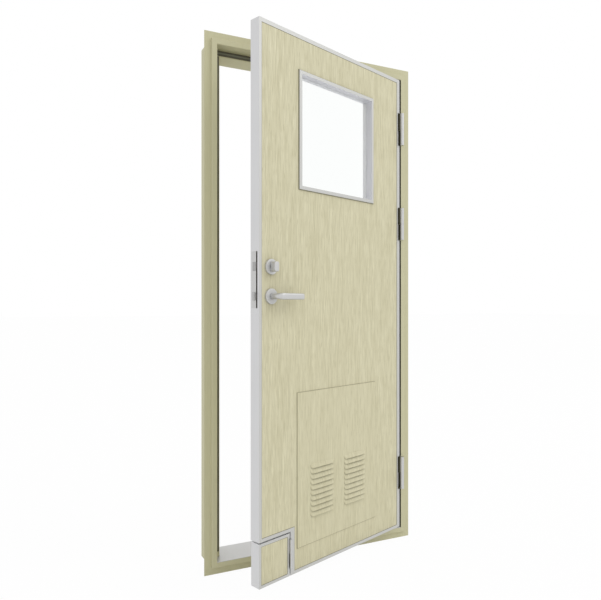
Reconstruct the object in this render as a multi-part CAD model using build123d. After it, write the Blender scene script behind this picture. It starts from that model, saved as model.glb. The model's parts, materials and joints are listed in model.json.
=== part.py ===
from build123d import *
import math
import os

# A single-leaf ship's fire door in its four-sided steel frame, with a window, a louvred kick-out panel and a
# hose port. Millimetres. X runs along the wall towards the hinges, Y runs through the wall away from the side
# that the leaf opens to, and Z is up. The origin is the middle of the frame's bottom edge, on the back of the
# flange that lies against the wall. The leaf is modelled shut and then swung open by OPEN_ANGLE.

# Frame
OPENING_WIDTH = 859.0
OPENING_HEIGHT = 2010.0
FACE_WIDTH = 22.0
FACE_STEP = 11.0
FLANGE_WIDTH = 27.0
FLANGE_THICKNESS = 2.0
RABBET_DEPTH = 53.0
STOP_HEIGHT = 26.0
FRAME_DEPTH = 141.0
PROFILE_RADIUS = 2.0
SILL_PLATE_THICKNESS = 2.0
SEAL_WIDTH = 20.0
SEAL_THICKNESS = 3.0
SEAL_BASE = 1.6
SEAL_FOOT_GAP = 20.0

# Leaf
LEAF_THICKNESS = 45.0
GAP_HINGE = 5.5
GAP_LOCK = 8.5
GAP_HEAD = 5.0
GAP_SILL = 5.0
OPEN_ANGLE = 20.0
SKIN = 1.0
EDGE_WEB = 1.5
EDGE_LIP = 12.0
TOP_LIP = 15.0
HINGE_LIP = 20.0
LIP_THICKNESS = 1.0

# Hinges
HINGE_RADIUS = 8.5
HINGE_LENGTH = 142.0
HINGE_OFFSET = 10.0
HINGE_HEIGHTS = {"bottom": 242.0, "middle": 1355.0, "top": 1779.0}
HINGE_PLATE = 3.0
HINGE_PLATE_REACH = 38.0
HINGE_NOTCH = 13.0
HINGE_NOTCH_DEPTH = 16.0
HINGE_NOTCH_MARGIN = 2.0
PIN_RADIUS = 4.5
PIN_LENGTH = 50.0
PIN_CLEARANCE = 0.1
BEARING_GAP = 0.3
BORE_SPARE = 1.0

# Hose port in the bottom corner on the lock side
PORT_WIDTH = 155.0
PORT_HEIGHT = 161.0
PORT_GAP = 5.0
PORT_SIDE_LIP = 20.0
FLAP_LIP = 10.0
FLAP_BEVEL = 2.5
FLAP_HINGE_RADIUS = 4.5
FLAP_HINGE_LENGTH = 106.0
FLAP_HINGE_OFFSET = 5.2
FLAP_HINGE_HEIGHT = 82.0
FLAP_PLATE = 2.0
FLAP_PLATE_REACH = 24.0
FLAP_NOTCH = 3.0
FLAP_NOTCH_DEPTH = 9.0
FLAP_PIN_RADIUS = 2.2
FLAP_PIN_LENGTH = 34.0

# Window
WINDOW_WIDTH = 450.0
WINDOW_HEIGHT = 444.0
WINDOW_FROM_FREE_EDGE = 199.0
WINDOW_FROM_BOTTOM = 1424.0
WINDOW_FACE = 13.0
WINDOW_PROUD_FRONT = 6.0
WINDOW_PROUD_BACK = 2.0
WINDOW_WALL = 2.5
WINDOW_CHAMFER = 1.5
WINDOW_CUTOUT_CLEARANCE = 0.5
GLASS_THICKNESS = 7.0
GASKET_THICKNESS = 2.0

# Kick-out panel with two banks of louvres
KICK_WIDTH = 473.0
KICK_HEIGHT = 576.0
KICK_FROM_FREE_EDGE = 190.0
KICK_FROM_BOTTOM = 90.0
KICK_PLATE = 1.5
KICK_PROUD = 3.0
KICK_LAP = 20.0
KICK_SEAM = 2.0
LOUVRE_COUNT = 10
LOUVRE_LENGTH = 136.0
LOUVRE_PITCH = 20.4
LOUVRE_HEIGHT = 18.0
LOUVRE_DEPTH = 6.5
LOUVRE_SHEET = 1.2
LOUVRE_END_FACETS = 3
LOUVRE_BANK_SPACING = 197.0
LOUVRE_BANK_BOTTOM = 98.0
VENT_MARGIN = 3.0

# Lock, levers and thumb turn
BACKSET = 56.0
LEVER_HEIGHT = 1023.0
LOCK_CENTRES = 105.0
ROSE_RADIUS = 28.0
ROSE_THICKNESS = 8.0
ROSE_EDGE = 2.0
LEVER_RADIUS = 10.5
LEVER_END_CHAMFER = 2.0
LEVER_STANDOFF = 48.0
LEVER_BEND = 14.0
LEVER_REACH = 116.0
LEVER_CLEARANCE = 0.4
SPINDLE = 8.0
LOCK_HOLE = 28.0
TURN_WIDTH = 21.0
TURN_HEIGHT = 36.0
TURN_DEPTH = 26.0
TURN_NECK_RADIUS = 9.0
TURN_CORNER = 4.0
TURN_CHAMFER = 1.0
TURN_TAIL = 5.0
CYLINDER_RADIUS = 15.5
CYLINDER_PROUD = 5.0
KEYWAY_WIDTH = 2.4
KEYWAY_HEIGHT = 9.0
KEYWAY_DEPTH = 6.0
FOREND_HEIGHT = 200.0
FOREND_WIDTH = 24.0
FOREND_THICKNESS = 3.0
FOREND_FROM_FRONT = 16.5
FOREND_SLOT = 7.0
FOREND_BELOW_LEVER = 42.0
LOCK_POCKET_DEPTH = 92.0
LATCH_HEIGHT = 28.0
BOLT_WIDTH = 16.0
BOLT_SETBACK = 1.0
LATCH_THROW = 12.0
LATCH_TAIL = 24.0
DEADBOLT_HEIGHT = 30.0
DEADBOLT_PROUD = 0.8
DEADBOLT_THROW = 16.0
DEADBOLT_TAIL = 40.0
BOLT_CLEARANCE = 0.4
STRIKE_HEIGHT = 190.0
STRIKE_WIDTH = 30.0
STRIKE_THICKNESS = 2.0
STRIKE_CLEARANCE = 5.0
STRIKE_POCKET_SPARE = 1.0

# Places that follow from the sizes above
FRONT_Y = -FLANGE_THICKNESS - FACE_STEP
STOP_Y = FRONT_Y + RABBET_DEPTH
BACK_Y = FRONT_Y + FRAME_DEPTH
BORDER = FACE_WIDTH + FLANGE_WIDTH
HALF_OPENING = OPENING_WIDTH / 2
SILL_Z = BORDER
HEAD_Z = SILL_Z + OPENING_HEIGHT
LEAF_WIDTH = OPENING_WIDTH - GAP_HINGE - GAP_LOCK
LEAF_HEIGHT = OPENING_HEIGHT - GAP_HEAD - GAP_SILL
LEAF_X = -HALF_OPENING + GAP_LOCK
LEAF_Y = FRONT_Y
LEAF_Z = SILL_Z + GAP_SILL
LEAF_BACK_Y = LEAF_Y + LEAF_THICKNESS
SKIN_FRONT_Y = LEAF_Y + LIP_THICKNESS
SKIN_BACK_Y = LEAF_BACK_Y - LIP_THICKNESS
LEAF_MID_Y = LEAF_Y + LEAF_THICKNESS / 2
HINGE_X = HALF_OPENING
HINGE_Y = FRONT_Y - HINGE_OFFSET
SPINDLE_X = LEAF_X + BACKSET
LEVER_Z = LEAF_Z + LEVER_HEIGHT
TURN_Z = LEVER_Z + LOCK_CENTRES
FOREND_Z = LEVER_Z - FOREND_BELOW_LEVER
FOREND_Y = LEAF_Y + FOREND_FROM_FRONT
BOLT_Y = FOREND_Y + BOLT_WIDTH / 2 + BOLT_CLEARANCE + BOLT_SETBACK
STRIKE_POCKET_DEPTH = DEADBOLT_THROW + STRIKE_POCKET_SPARE
FLAP_WIDTH = PORT_WIDTH - PORT_GAP
FLAP_HEIGHT = PORT_HEIGHT - PORT_GAP
FLAP_HINGE_X = LEAF_X + PORT_WIDTH - PORT_GAP / 2
FLAP_HINGE_Y = LEAF_Y - FLAP_HINGE_OFFSET


def block(x0, x1, y0, y1, z0, z1):
    """A box between two corners."""
    return Pos((x0 + x1) / 2, (y0 + y1) / 2, (z0 + z1) / 2) * Box(x1 - x0, y1 - y0, z1 - z0)


def plate(corners, y0, y1):
    """A flat piece whose outline is drawn on the wall, as (x, z) corners, from depth y0 to y1."""
    outline = Polyline(*[(x, y0, z) for x, z in corners], close=True)
    return extrude(make_face(outline), y1 - y0, dir=(0, 1, 0))


def upright(corners, z0, z1):
    """An upright bar whose outline is drawn on the floor, as (x, y) corners, from height z0 to z1."""
    outline = Polyline(*[(x, y, z0) for x, y in corners], close=True)
    return extrude(make_face(outline), z1 - z0, dir=(0, 0, 1))


def post(x, y, z0, z1, radius):
    """An upright round bar."""
    return Pos(x, y, z0) * Cylinder(radius, z1 - z0, align=(Align.CENTER, Align.CENTER, Align.MIN))


def through(x, z, y0, y1, radius):
    """A round bar or hole that runs through the wall."""
    bar = Cylinder(radius, y1 - y0, align=(Align.CENTER, Align.CENTER, Align.MIN))
    return Pos(x, y0, z) * Rot(-90, 0, 0) * bar


def rectangle(x0, x1, z0, z1):
    """The four corners of an upright rectangle, anticlockwise as seen from the front."""
    return [(x0, z0), (x1, z0), (x1, z1), (x0, z1)]


def inset(corners, widths):
    """The corners moved in from each edge by that edge's own width; edge i starts at corner i."""
    moved = []
    for i, corner in enumerate(corners):
        before = Vector(*corner) - Vector(*corners[i - 1])
        after = Vector(*corners[(i + 1) % len(corners)]) - Vector(*corner)
        before, after = before.normalized(), after.normalized()
        turn = before.X * after.Y - before.Y * after.X
        move = (after * widths[i - 1] - before * widths[i]) * (1 / turn)
        moved.append((corner[0] + move.X, corner[1] + move.Y))
    return moved


def frame_section(with_stop, top):
    """The pressed profile as (outward, depth) corners; top is how far out its opening side starts."""
    inner = [(-STOP_HEIGHT, BACK_Y), (-STOP_HEIGHT, STOP_Y), (top, STOP_Y)] if with_stop else [(top, BACK_Y)]
    wall = [(top, FRONT_Y), (FACE_WIDTH, FRONT_Y), (FACE_WIDTH, BACK_Y)]
    return inner + wall


def frame_member(with_stop, top, place, direction, length):
    """One side of the frame: its rounded profile and the wall flange, run along one direction."""
    section = frame_section(with_stop, top)
    outline = make_face(Polyline(*[place(s, y) for s, y in section], close=True))
    corners = [v for v in outline.vertices() if (Vector(*v) - Vector(*place(top, STOP_Y))).length > 1]
    body = extrude(fillet(corners, PROFILE_RADIUS), length, dir=direction)
    lip = [(FACE_WIDTH, -FLANGE_THICKNESS), (BORDER, -FLANGE_THICKNESS), (BORDER, 0), (FACE_WIDTH, 0)]
    flange = extrude(make_face(Polyline(*[place(s, y) for s, y in lip], close=True)), length, dir=direction)
    return body + flange


def make_jamb(side):
    """An upright of the frame, mitred at both ends; side is -1 for the lock and 1 for the hinges."""
    def place(s, y):
        return (side * (HALF_OPENING + s), y, 0)

    bar = frame_member(True, 0, place, (0, 0, 1), HEAD_Z + BORDER)
    shape = [(-STOP_HEIGHT, HEAD_Z - STOP_HEIGHT), (BORDER, HEAD_Z + BORDER), (BORDER, 0), (0, SILL_Z),
             (-STOP_HEIGHT, SILL_Z)]
    return bar & plate([(side * (HALF_OPENING + s), z) for s, z in shape], FRONT_Y, BACK_Y)


def make_head():
    """The top of the frame, mitred at both ends."""
    reach = HALF_OPENING + BORDER
    bar = frame_member(True, 0, lambda s, y: (-reach, y, HEAD_Z + s), (1, 0, 0), 2 * reach)
    inner = HALF_OPENING - STOP_HEIGHT
    low, high = HEAD_Z - STOP_HEIGHT, HEAD_Z + BORDER
    shape = [(-reach, high), (-inner, low), (inner, low), (reach, high)]
    return bar & plate(shape, FRONT_Y, BACK_Y)


def make_bottom_member():
    """The bottom of the frame, flat on top for the sill plate, with no stop."""
    reach = HALF_OPENING + BORDER
    top = SILL_PLATE_THICKNESS
    bar = frame_member(False, top, lambda s, y: (-reach, y, SILL_Z - s), (1, 0, 0), 2 * reach)
    half_top = HALF_OPENING + top
    shape = [(-reach, 0), (reach, 0), (half_top, SILL_Z - top), (-half_top, SILL_Z - top)]
    return bar & plate(shape, FRONT_Y, BACK_Y)


def strike_slots(y_margin, x0, x1):
    """The holes that the latch and the deadbolt enter when the leaf is shut."""
    holes = []
    for z, height in ((LEVER_Z, LATCH_HEIGHT), (TURN_Z, DEADBOLT_HEIGHT)):
        half = height / 2 + STRIKE_CLEARANCE
        width = BOLT_WIDTH / 2 + y_margin
        holes.append(block(x0, x1, BOLT_Y - width, BOLT_Y + width, z - half, z + half))
    return holes


def strike_bed(depth):
    """The strike plate's own box, let into the lock jamb."""
    middle = (LEVER_Z + TURN_Z) / 2
    x = -HALF_OPENING
    return block(x - depth, x, BOLT_Y - STRIKE_WIDTH / 2, BOLT_Y + STRIKE_WIDTH / 2,
                 middle - STRIKE_HEIGHT / 2, middle + STRIKE_HEIGHT / 2)


def hinge_half(axis, plate_x, reach, z0, z1, radius):
    """A knuckle and the flat plate that runs back from it; plate_x gives the plate's two faces."""
    x, y = axis
    return post(x, y, z0, z1, radius) + block(plate_x[0], plate_x[1], y, reach, z0, z1)


def lift_off_hinge(axis, z0, length, radius, fixed_x, moving_x, reach, pin, pin_length):
    """The lower, fixed half with its pin, and the upper, moving half with its bore."""
    x, y = axis
    split = z0 + (length - BEARING_GAP) / 2
    upper = split + BEARING_GAP
    fixed = hinge_half(axis, fixed_x, reach, z0, split, radius)
    fixed += post(x, y, split, split + pin_length, pin)
    moving = hinge_half(axis, moving_x, reach, upper, z0 + length, radius)
    moving -= post(x, y, upper, split + pin_length + BORE_SPARE, pin + PIN_CLEARANCE)
    return fixed, moving


def channel(corners, widths, i):
    """One side of the folded edging round a panel: a web across the edge and a mitred lip on each face."""
    j = (i + 1) % len(corners)
    lip = inset(corners, widths)
    web = inset(corners, [EDGE_WEB] * len(corners))
    front = plate([corners[i], corners[j], lip[j], lip[i]], LEAF_Y, SKIN_FRONT_Y)
    back = plate([corners[i], corners[j], lip[j], lip[i]], SKIN_BACK_Y, LEAF_BACK_Y)
    return front + back + plate([corners[i], corners[j], web[j], web[i]], SKIN_FRONT_Y, SKIN_BACK_Y)


def panel(corners):
    """The front sheet, the filling and the back sheet that fit inside the edging."""
    inner = inset(corners, [EDGE_WEB] * len(corners))
    front = plate(inner, SKIN_FRONT_Y, SKIN_FRONT_Y + SKIN)
    core = plate(inner, SKIN_FRONT_Y + SKIN, SKIN_BACK_Y - SKIN)
    back = plate(inner, SKIN_BACK_Y - SKIN, SKIN_BACK_Y)
    return front, core, back


def louvre_hood(depth, height, half):
    """A pressed hood, open below: a face that slopes out from its ridge, with rounded ends."""
    turns = [math.radians(90 * i / LOUVRE_END_FACETS) for i in range(LOUVRE_END_FACETS + 1)]
    right = [(half + depth * math.sin(a), -depth * math.cos(a), 0) for a in turns]
    left = [(-x, y, z) for x, y, z in right[::-1]]
    ridge = [(half, 0, height), (-half, 0, height)]
    outlines = [left + right, [left[-1], right[0]] + ridge, [right[-1], left[0]] + ridge[::-1]]
    outlines += [[a, b, ridge[0]] for a, b in zip(right, right[1:])]
    outlines += [[a, b, ridge[1]] for a, b in zip(left, left[1:])]
    return Solid(Shell([make_face(Polyline(*points, close=True)).face() for points in outlines]))


def louvre_places():
    """The (x, z) foot of every louvre, bank by bank."""
    middle = LEAF_X + KICK_FROM_FREE_EDGE + KICK_WIDTH / 2
    bottom = LEAF_Z + KICK_FROM_BOTTOM + LOUVRE_BANK_BOTTOM
    for side in (-1, 1):
        for row in range(LOUVRE_COUNT):
            yield middle + side * LOUVRE_BANK_SPACING / 2, bottom + row * LOUVRE_PITCH


def louvred_sheet(corners, y0, facing):
    """A sheet with hoods pressed out of it; facing is -1 for the front of the leaf and 1 for its back."""
    sheet = plate(corners, *sorted((y0, y0 - facing * KICK_PLATE)))
    half = LOUVRE_LENGTH / 2 - LOUVRE_DEPTH
    inner_height = LOUVRE_HEIGHT - LOUVRE_SHEET
    outer = louvre_hood(LOUVRE_DEPTH, LOUVRE_HEIGHT, half)
    inner = louvre_hood(LOUVRE_DEPTH - LOUVRE_SHEET, inner_height, half)
    inner += block(-half, half, 0, KICK_PLATE, 0, inner_height)
    turn = Rot(0, 0, 0 if facing < 0 else 180)
    places = [Pos(x, y0, z) * turn for x, z in louvre_places()]
    return sheet + [place * outer for place in places] - [place * inner for place in places]


def rose(z, y, facing, hole):
    """A round cover plate with a chamfered rim, standing on the face at depth y."""
    y0, y1 = sorted((y, y + facing * ROSE_THICKNESS))
    disc = through(SPINDLE_X, z, y0, y1, ROSE_RADIUS)
    rim = disc.edges().filter_by(GeomType.CIRCLE).sort_by(Axis.Y)[0 if facing < 0 else -1]
    return chamfer(rim, ROSE_EDGE) - through(SPINDLE_X, z, y0, y1, hole)


def lever(facing, face_y):
    """A round neck out of the rose, a bend in two mitres and a grip along the leaf towards the hinges."""
    grip_y = face_y + facing * LEVER_STANDOFF
    grip_end = SPINDLE_X + LEVER_REACH
    route = Polyline((SPINDLE_X, face_y, LEVER_Z), (SPINDLE_X, grip_y - facing * LEVER_BEND, LEVER_Z),
                     (SPINDLE_X + LEVER_BEND, grip_y, LEVER_Z), (grip_end, grip_y, LEVER_Z))
    bar = sweep((route ^ 0) * Circle(LEVER_RADIUS), path=route, transition=Transition.RIGHT)
    return chamfer(bar.faces().sort_by(Axis.X)[-1].edges(), LEVER_END_CHAMFER)


def window_half(facing):
    """A trim ring on one face of the leaf with its lining back to the glass."""
    x0, z0 = LEAF_X + WINDOW_FROM_FREE_EDGE, LEAF_Z + WINDOW_FROM_BOTTOM
    outer = rectangle(x0, x0 + WINDOW_WIDTH, z0, z0 + WINDOW_HEIGHT)
    sight = inset(outer, [WINDOW_FACE] * 4)
    lining = inset(outer, [WINDOW_FACE - WINDOW_WALL] * 4)
    skin_y = SKIN_FRONT_Y if facing < 0 else SKIN_BACK_Y
    proud = WINDOW_PROUD_FRONT if facing < 0 else WINDOW_PROUD_BACK
    face = sorted((skin_y, skin_y + facing * proud))
    seat = LEAF_MID_Y + facing * (GLASS_THICKNESS / 2 + GASKET_THICKNESS)
    ring = plate(outer, *face) + plate(lining, *sorted((skin_y, seat)))
    rim = ring.faces().sort_by(Axis.Y)[0 if facing < 0 else -1].edges()
    ring = chamfer(rim, WINDOW_CHAMFER)
    return ring - plate(sight, *sorted((face[0 if facing < 0 else 1], seat)))


def build():
    """Every node of the door by name, in the place it takes in the photograph's pose."""
    frame, leaf = {}, {}

    # Frame members, the sill plate and the seals on the stop
    lock_jamb, hinge_jamb = make_jamb(-1), make_jamb(1)
    frame["frame_head"] = make_head()
    frame["frame_bottom_member"] = make_bottom_member()
    frame["sill_plate"] = block(-HALF_OPENING, HALF_OPENING, FRONT_Y, BACK_Y,
                                SILL_Z - SILL_PLATE_THICKNESS, SILL_Z)
    seal_side = (STOP_HEIGHT - SEAL_WIDTH) / 2
    seal_in, seal_out = HALF_OPENING - STOP_HEIGHT + seal_side, HALF_OPENING - seal_side
    bead = SEAL_THICKNESS - SEAL_BASE
    for side, name in ((-1, "seal_lock_side"), (1, "seal_hinge_side")):
        x0, x1 = sorted((side * seal_in, side * seal_out))
        strip = block(x0, x1, STOP_Y - SEAL_BASE, STOP_Y, SILL_Z + SEAL_FOOT_GAP, HEAD_Z - STOP_HEIGHT)
        hump = post((x0 + x1) / 2, STOP_Y - SEAL_BASE, SILL_Z + SEAL_FOOT_GAP, HEAD_Z - STOP_HEIGHT, bead)
        frame[name] = strip + hump
    z0, z1 = HEAD_Z - STOP_HEIGHT + seal_side, HEAD_Z - seal_side
    strip = block(-seal_out, seal_out, STOP_Y - SEAL_BASE, STOP_Y, z0, z1)
    hump = Pos(0, STOP_Y - SEAL_BASE, (z0 + z1) / 2) * Rot(0, 90, 0) * Cylinder(bead, 2 * seal_out)
    frame["seal_head"] = strip + hump

    # Strike plate let into the lock jamb
    lock_jamb -= strike_bed(STRIKE_THICKNESS)
    lock_jamb -= strike_slots(STRIKE_CLEARANCE, -HALF_OPENING - STRIKE_POCKET_DEPTH, -HALF_OPENING)
    frame["strike_plate"] = strike_bed(STRIKE_THICKNESS) - strike_slots(
        STRIKE_CLEARANCE, -HALF_OPENING - STRIKE_THICKNESS, -HALF_OPENING)

    # Leaf outline: a rectangle with the hose port cut out of one bottom corner
    right, top = LEAF_X + LEAF_WIDTH, LEAF_Z + LEAF_HEIGHT
    port_x, port_z = LEAF_X + PORT_WIDTH, LEAF_Z + PORT_HEIGHT
    outline = [(LEAF_X, port_z), (port_x, port_z), (port_x, LEAF_Z), (right, LEAF_Z), (right, top),
               (LEAF_X, top)]
    lips = [EDGE_LIP, PORT_SIDE_LIP, EDGE_LIP, HINGE_LIP, TOP_LIP, EDGE_LIP]
    leaf["edging_port"] = channel(outline, lips, 0) + channel(outline, lips, 1)
    names = ["edging_bottom", "edging_hinge_side", "edging_top", "edging_lock_side"]
    for i, name in enumerate(names, start=2):
        leaf[name] = channel(outline, lips, i)
    front_skin, core, back_skin = panel(outline)

    # Main hinges, with a recess in the jamb and a notch in the leaf for each
    reach = FRONT_Y + HINGE_PLATE_REACH
    fixed_x = (HALF_OPENING, HALF_OPENING + HINGE_PLATE)
    moving_x = (right - HINGE_PLATE, right)
    for name, height in HINGE_HEIGHTS.items():
        z0 = LEAF_Z + height - HINGE_LENGTH / 2
        z1 = z0 + HINGE_LENGTH
        fixed, moving = lift_off_hinge((HINGE_X, HINGE_Y), z0, HINGE_LENGTH, HINGE_RADIUS, fixed_x, moving_x,
                                       reach, PIN_RADIUS, PIN_LENGTH)
        frame[f"hinge_{name}_frame_half"] = fixed
        leaf[f"hinge_{name}_leaf_half"] = moving
        hinge_jamb -= fixed & block(*fixed_x, FRONT_Y, reach, z0, z1)
        low, high = z0 - HINGE_NOTCH_MARGIN, z1 + HINGE_NOTCH_MARGIN
        notch = block(right - HINGE_NOTCH, right, LEAF_Y, LEAF_Y + HINGE_NOTCH_DEPTH, low, high)
        bed = block(*moving_x, LEAF_Y, reach, z0 + HINGE_LENGTH / 2, z1)
        front_skin -= notch
        core -= [notch, bed]
        leaf["edging_hinge_side"] -= [notch, bed]
    frame["frame_lock_jamb"] = lock_jamb
    frame["frame_hinge_jamb"] = hinge_jamb

    # Window
    x0, z0 = LEAF_X + WINDOW_FROM_FREE_EDGE, LEAF_Z + WINDOW_FROM_BOTTOM
    ring = rectangle(x0, x0 + WINDOW_WIDTH, z0, z0 + WINDOW_HEIGHT)
    hole = inset(ring, [WINDOW_FACE - WINDOW_WALL - WINDOW_CUTOUT_CLEARANCE] * 4)
    pane = inset(ring, [WINDOW_FACE - WINDOW_WALL] * 4)
    sight = inset(ring, [WINDOW_FACE] * 4)
    cut = plate(hole, LEAF_Y, LEAF_BACK_Y)
    front_skin, core, back_skin = front_skin - cut, core - cut, back_skin - cut
    leaf["window_frame_front"] = window_half(-1)
    leaf["window_frame_back"] = window_half(1)
    half_glass = GLASS_THICKNESS / 2
    leaf["window_glass"] = plate(pane, LEAF_MID_Y - half_glass, LEAF_MID_Y + half_glass)
    bands = []
    for side in (-1, 1):
        face = sorted((LEAF_MID_Y + side * half_glass, LEAF_MID_Y + side * (half_glass + GASKET_THICKNESS)))
        bands.append(plate(pane, *face) - plate(sight, *face))
    leaf["window_gaskets"] = Compound(bands)

    # Kick-out panel: a louvred tray lapped over the front, a vented filling and a louvred back sheet
    x0, z0 = LEAF_X + KICK_FROM_FREE_EDGE, LEAF_Z + KICK_FROM_BOTTOM
    cover = rectangle(x0, x0 + KICK_WIDTH, z0, z0 + KICK_HEIGHT)
    hole = inset(cover, [KICK_LAP] * 4)
    insert = inset(hole, [KICK_SEAM] * 4)
    cut = plate(hole, LEAF_Y, LEAF_BACK_Y)
    front_skin, core, back_skin = front_skin - cut, core - cut, back_skin - cut
    cover_y = SKIN_FRONT_Y - KICK_PROUD
    rim = plate(cover, cover_y, SKIN_FRONT_Y) - plate(inset(cover, [KICK_PLATE] * 4), cover_y, SKIN_FRONT_Y)
    leaf["kick_panel_front_sheet"] = louvred_sheet(cover, cover_y, -1) + rim
    leaf["kick_panel_back_sheet"] = louvred_sheet(insert, SKIN_BACK_Y, 1)
    filling = plate(insert, cover_y + KICK_PLATE, SKIN_BACK_Y - KICK_PLATE)
    places = list(louvre_places())
    for x in sorted({x for x, z in places}):
        low = min(z for _, z in places) - VENT_MARGIN
        high = max(z for _, z in places) + LOUVRE_HEIGHT + VENT_MARGIN
        half = LOUVRE_LENGTH / 2 + VENT_MARGIN
        filling -= block(x - half, x + half, LEAF_Y, LEAF_BACK_Y, low, high)
    leaf["kick_panel_filling"] = filling

    # Lock: forend in the edge, a pocket behind it, latch and deadbolt
    pocket = block(LEAF_X, LEAF_X + LOCK_POCKET_DEPTH, FOREND_Y - FOREND_SLOT, FOREND_Y + FOREND_WIDTH,
                   FOREND_Z, FOREND_Z + FOREND_HEIGHT)
    core -= pocket
    leaf["edging_lock_side"] -= pocket
    forend = block(LEAF_X, LEAF_X + FOREND_THICKNESS, FOREND_Y, FOREND_Y + FOREND_WIDTH,
                   FOREND_Z, FOREND_Z + FOREND_HEIGHT)
    half = BOLT_WIDTH / 2
    latch_shape = [(LEAF_X + LATCH_TAIL, BOLT_Y - half), (LEAF_X - LATCH_THROW, BOLT_Y - half),
                   (LEAF_X - LATCH_THROW, BOLT_Y - half / 2), (LEAF_X, BOLT_Y + half),
                   (LEAF_X + LATCH_TAIL, BOLT_Y + half)]
    latch = upright(latch_shape, LEVER_Z - LATCH_HEIGHT / 2, LEVER_Z + LATCH_HEIGHT / 2)
    bolt_z = DEADBOLT_HEIGHT / 2
    deadbolt = block(LEAF_X - DEADBOLT_PROUD, LEAF_X + DEADBOLT_TAIL, BOLT_Y - half, BOLT_Y + half,
                     TURN_Z - bolt_z, TURN_Z + bolt_z)
    for z, height in ((LEVER_Z, LATCH_HEIGHT), (TURN_Z, DEADBOLT_HEIGHT)):
        reach_y, reach_z = half + BOLT_CLEARANCE, height / 2 + BOLT_CLEARANCE
        forend -= block(LEAF_X, LEAF_X + FOREND_THICKNESS, BOLT_Y - reach_y, BOLT_Y + reach_y,
                        z - reach_z, z + reach_z)
    leaf["lock_forend"] = forend
    leaf["latch_bolt"] = latch
    leaf["deadbolt"] = deadbolt

    # Levers on one spindle, the thumb turn and the key cylinder, over square cut-outs that the roses hide
    for z in (LEVER_Z, TURN_Z):
        cut = block(SPINDLE_X - LOCK_HOLE / 2, SPINDLE_X + LOCK_HOLE / 2, LEAF_Y, LEAF_BACK_Y,
                    z - LOCK_HOLE / 2, z + LOCK_HOLE / 2)
        front_skin, core, back_skin = front_skin - cut, core - cut, back_skin - cut
    neck_hole = LEVER_RADIUS + LEVER_CLEARANCE
    turn_hole = TURN_NECK_RADIUS + LEVER_CLEARANCE
    leaf["front_roses"] = Compound(
        [rose(LEVER_Z, SKIN_FRONT_Y, -1, neck_hole), rose(TURN_Z, SKIN_FRONT_Y, -1, turn_hole)])
    leaf["back_roses"] = Compound(
        [rose(LEVER_Z, SKIN_BACK_Y, 1, neck_hole), rose(TURN_Z, SKIN_BACK_Y, 1, CYLINDER_RADIUS)])
    leaf["lever_front"] = lever(-1, SKIN_FRONT_Y)
    leaf["lever_back"] = lever(1, SKIN_BACK_Y)
    leaf["lever_spindle"] = block(SPINDLE_X - SPINDLE / 2, SPINDLE_X + SPINDLE / 2, SKIN_FRONT_Y, SKIN_BACK_Y,
                                  LEVER_Z - SPINDLE / 2, LEVER_Z + SPINDLE / 2)
    knob_y = SKIN_FRONT_Y - ROSE_THICKNESS - LEVER_CLEARANCE
    knob = block(SPINDLE_X - TURN_WIDTH / 2, SPINDLE_X + TURN_WIDTH / 2, knob_y - TURN_DEPTH, knob_y,
                 TURN_Z - TURN_HEIGHT / 2, TURN_Z + TURN_HEIGHT / 2)
    knob = chamfer(knob.edges().filter_by(Axis.Y), TURN_CORNER)
    knob = chamfer(knob.faces().sort_by(Axis.Y)[0].edges(), TURN_CHAMFER)
    leaf["thumb_turn"] = knob + through(SPINDLE_X, TURN_Z, knob_y, SKIN_FRONT_Y + TURN_TAIL, TURN_NECK_RADIUS)
    cylinder_end = SKIN_BACK_Y + ROSE_THICKNESS + CYLINDER_PROUD
    barrel = through(SPINDLE_X, TURN_Z, SKIN_BACK_Y, cylinder_end, CYLINDER_RADIUS)
    barrel -= block(SPINDLE_X - KEYWAY_WIDTH / 2, SPINDLE_X + KEYWAY_WIDTH / 2,
                    cylinder_end - KEYWAY_DEPTH, cylinder_end,
                    TURN_Z - KEYWAY_HEIGHT / 2, TURN_Z + KEYWAY_HEIGHT / 2)
    leaf["key_cylinder"] = barrel

    # Hose port: its flap and the small hinge between flap and leaf
    flap_outline = rectangle(LEAF_X, LEAF_X + FLAP_WIDTH, LEAF_Z, LEAF_Z + FLAP_HEIGHT)
    edging = channel(flap_outline, [FLAP_LIP] * 4, 0)
    for i in range(1, 4):
        edging += channel(flap_outline, [FLAP_LIP] * 4, i)
    flap_front, flap_core, flap_back = panel(flap_outline)
    slope = [(LEAF_X, LEAF_Y), (LEAF_X + FLAP_BEVEL, LEAF_BACK_Y)]
    waste = upright([(LEAF_X, LEAF_BACK_Y)] + slope[::-1], LEAF_Z, LEAF_Z + FLAP_HEIGHT)
    web = upright(slope + [(x + EDGE_WEB, y) for x, y in slope[::-1]], LEAF_Z, LEAF_Z + FLAP_HEIGHT)
    edging = edging - waste + web
    flap_front, flap_core, flap_back = [sheet - [waste, web] for sheet in (flap_front, flap_core, flap_back)]
    flap_right = LEAF_X + FLAP_WIDTH
    reach = LEAF_Y + FLAP_PLATE_REACH
    z0 = LEAF_Z + FLAP_HINGE_HEIGHT - FLAP_HINGE_LENGTH / 2
    z1 = z0 + FLAP_HINGE_LENGTH
    port_plate = (port_x, port_x + FLAP_PLATE)
    flap_plate = (flap_right - FLAP_PLATE, flap_right)
    fixed, moving = lift_off_hinge((FLAP_HINGE_X, FLAP_HINGE_Y), z0, FLAP_HINGE_LENGTH, FLAP_HINGE_RADIUS,
                                   port_plate, flap_plate, reach, FLAP_PIN_RADIUS, FLAP_PIN_LENGTH)
    leaf["flap_hinge_leaf_half"] = fixed
    leaf["flap_hinge_flap_half"] = moving
    bed = block(*port_plate, LEAF_Y, reach, z0, z0 + FLAP_HINGE_LENGTH / 2)
    leaf["edging_port"] -= bed
    core -= bed
    front_skin -= bed
    low, high = z0 - HINGE_NOTCH_MARGIN, z1 + HINGE_NOTCH_MARGIN
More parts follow.
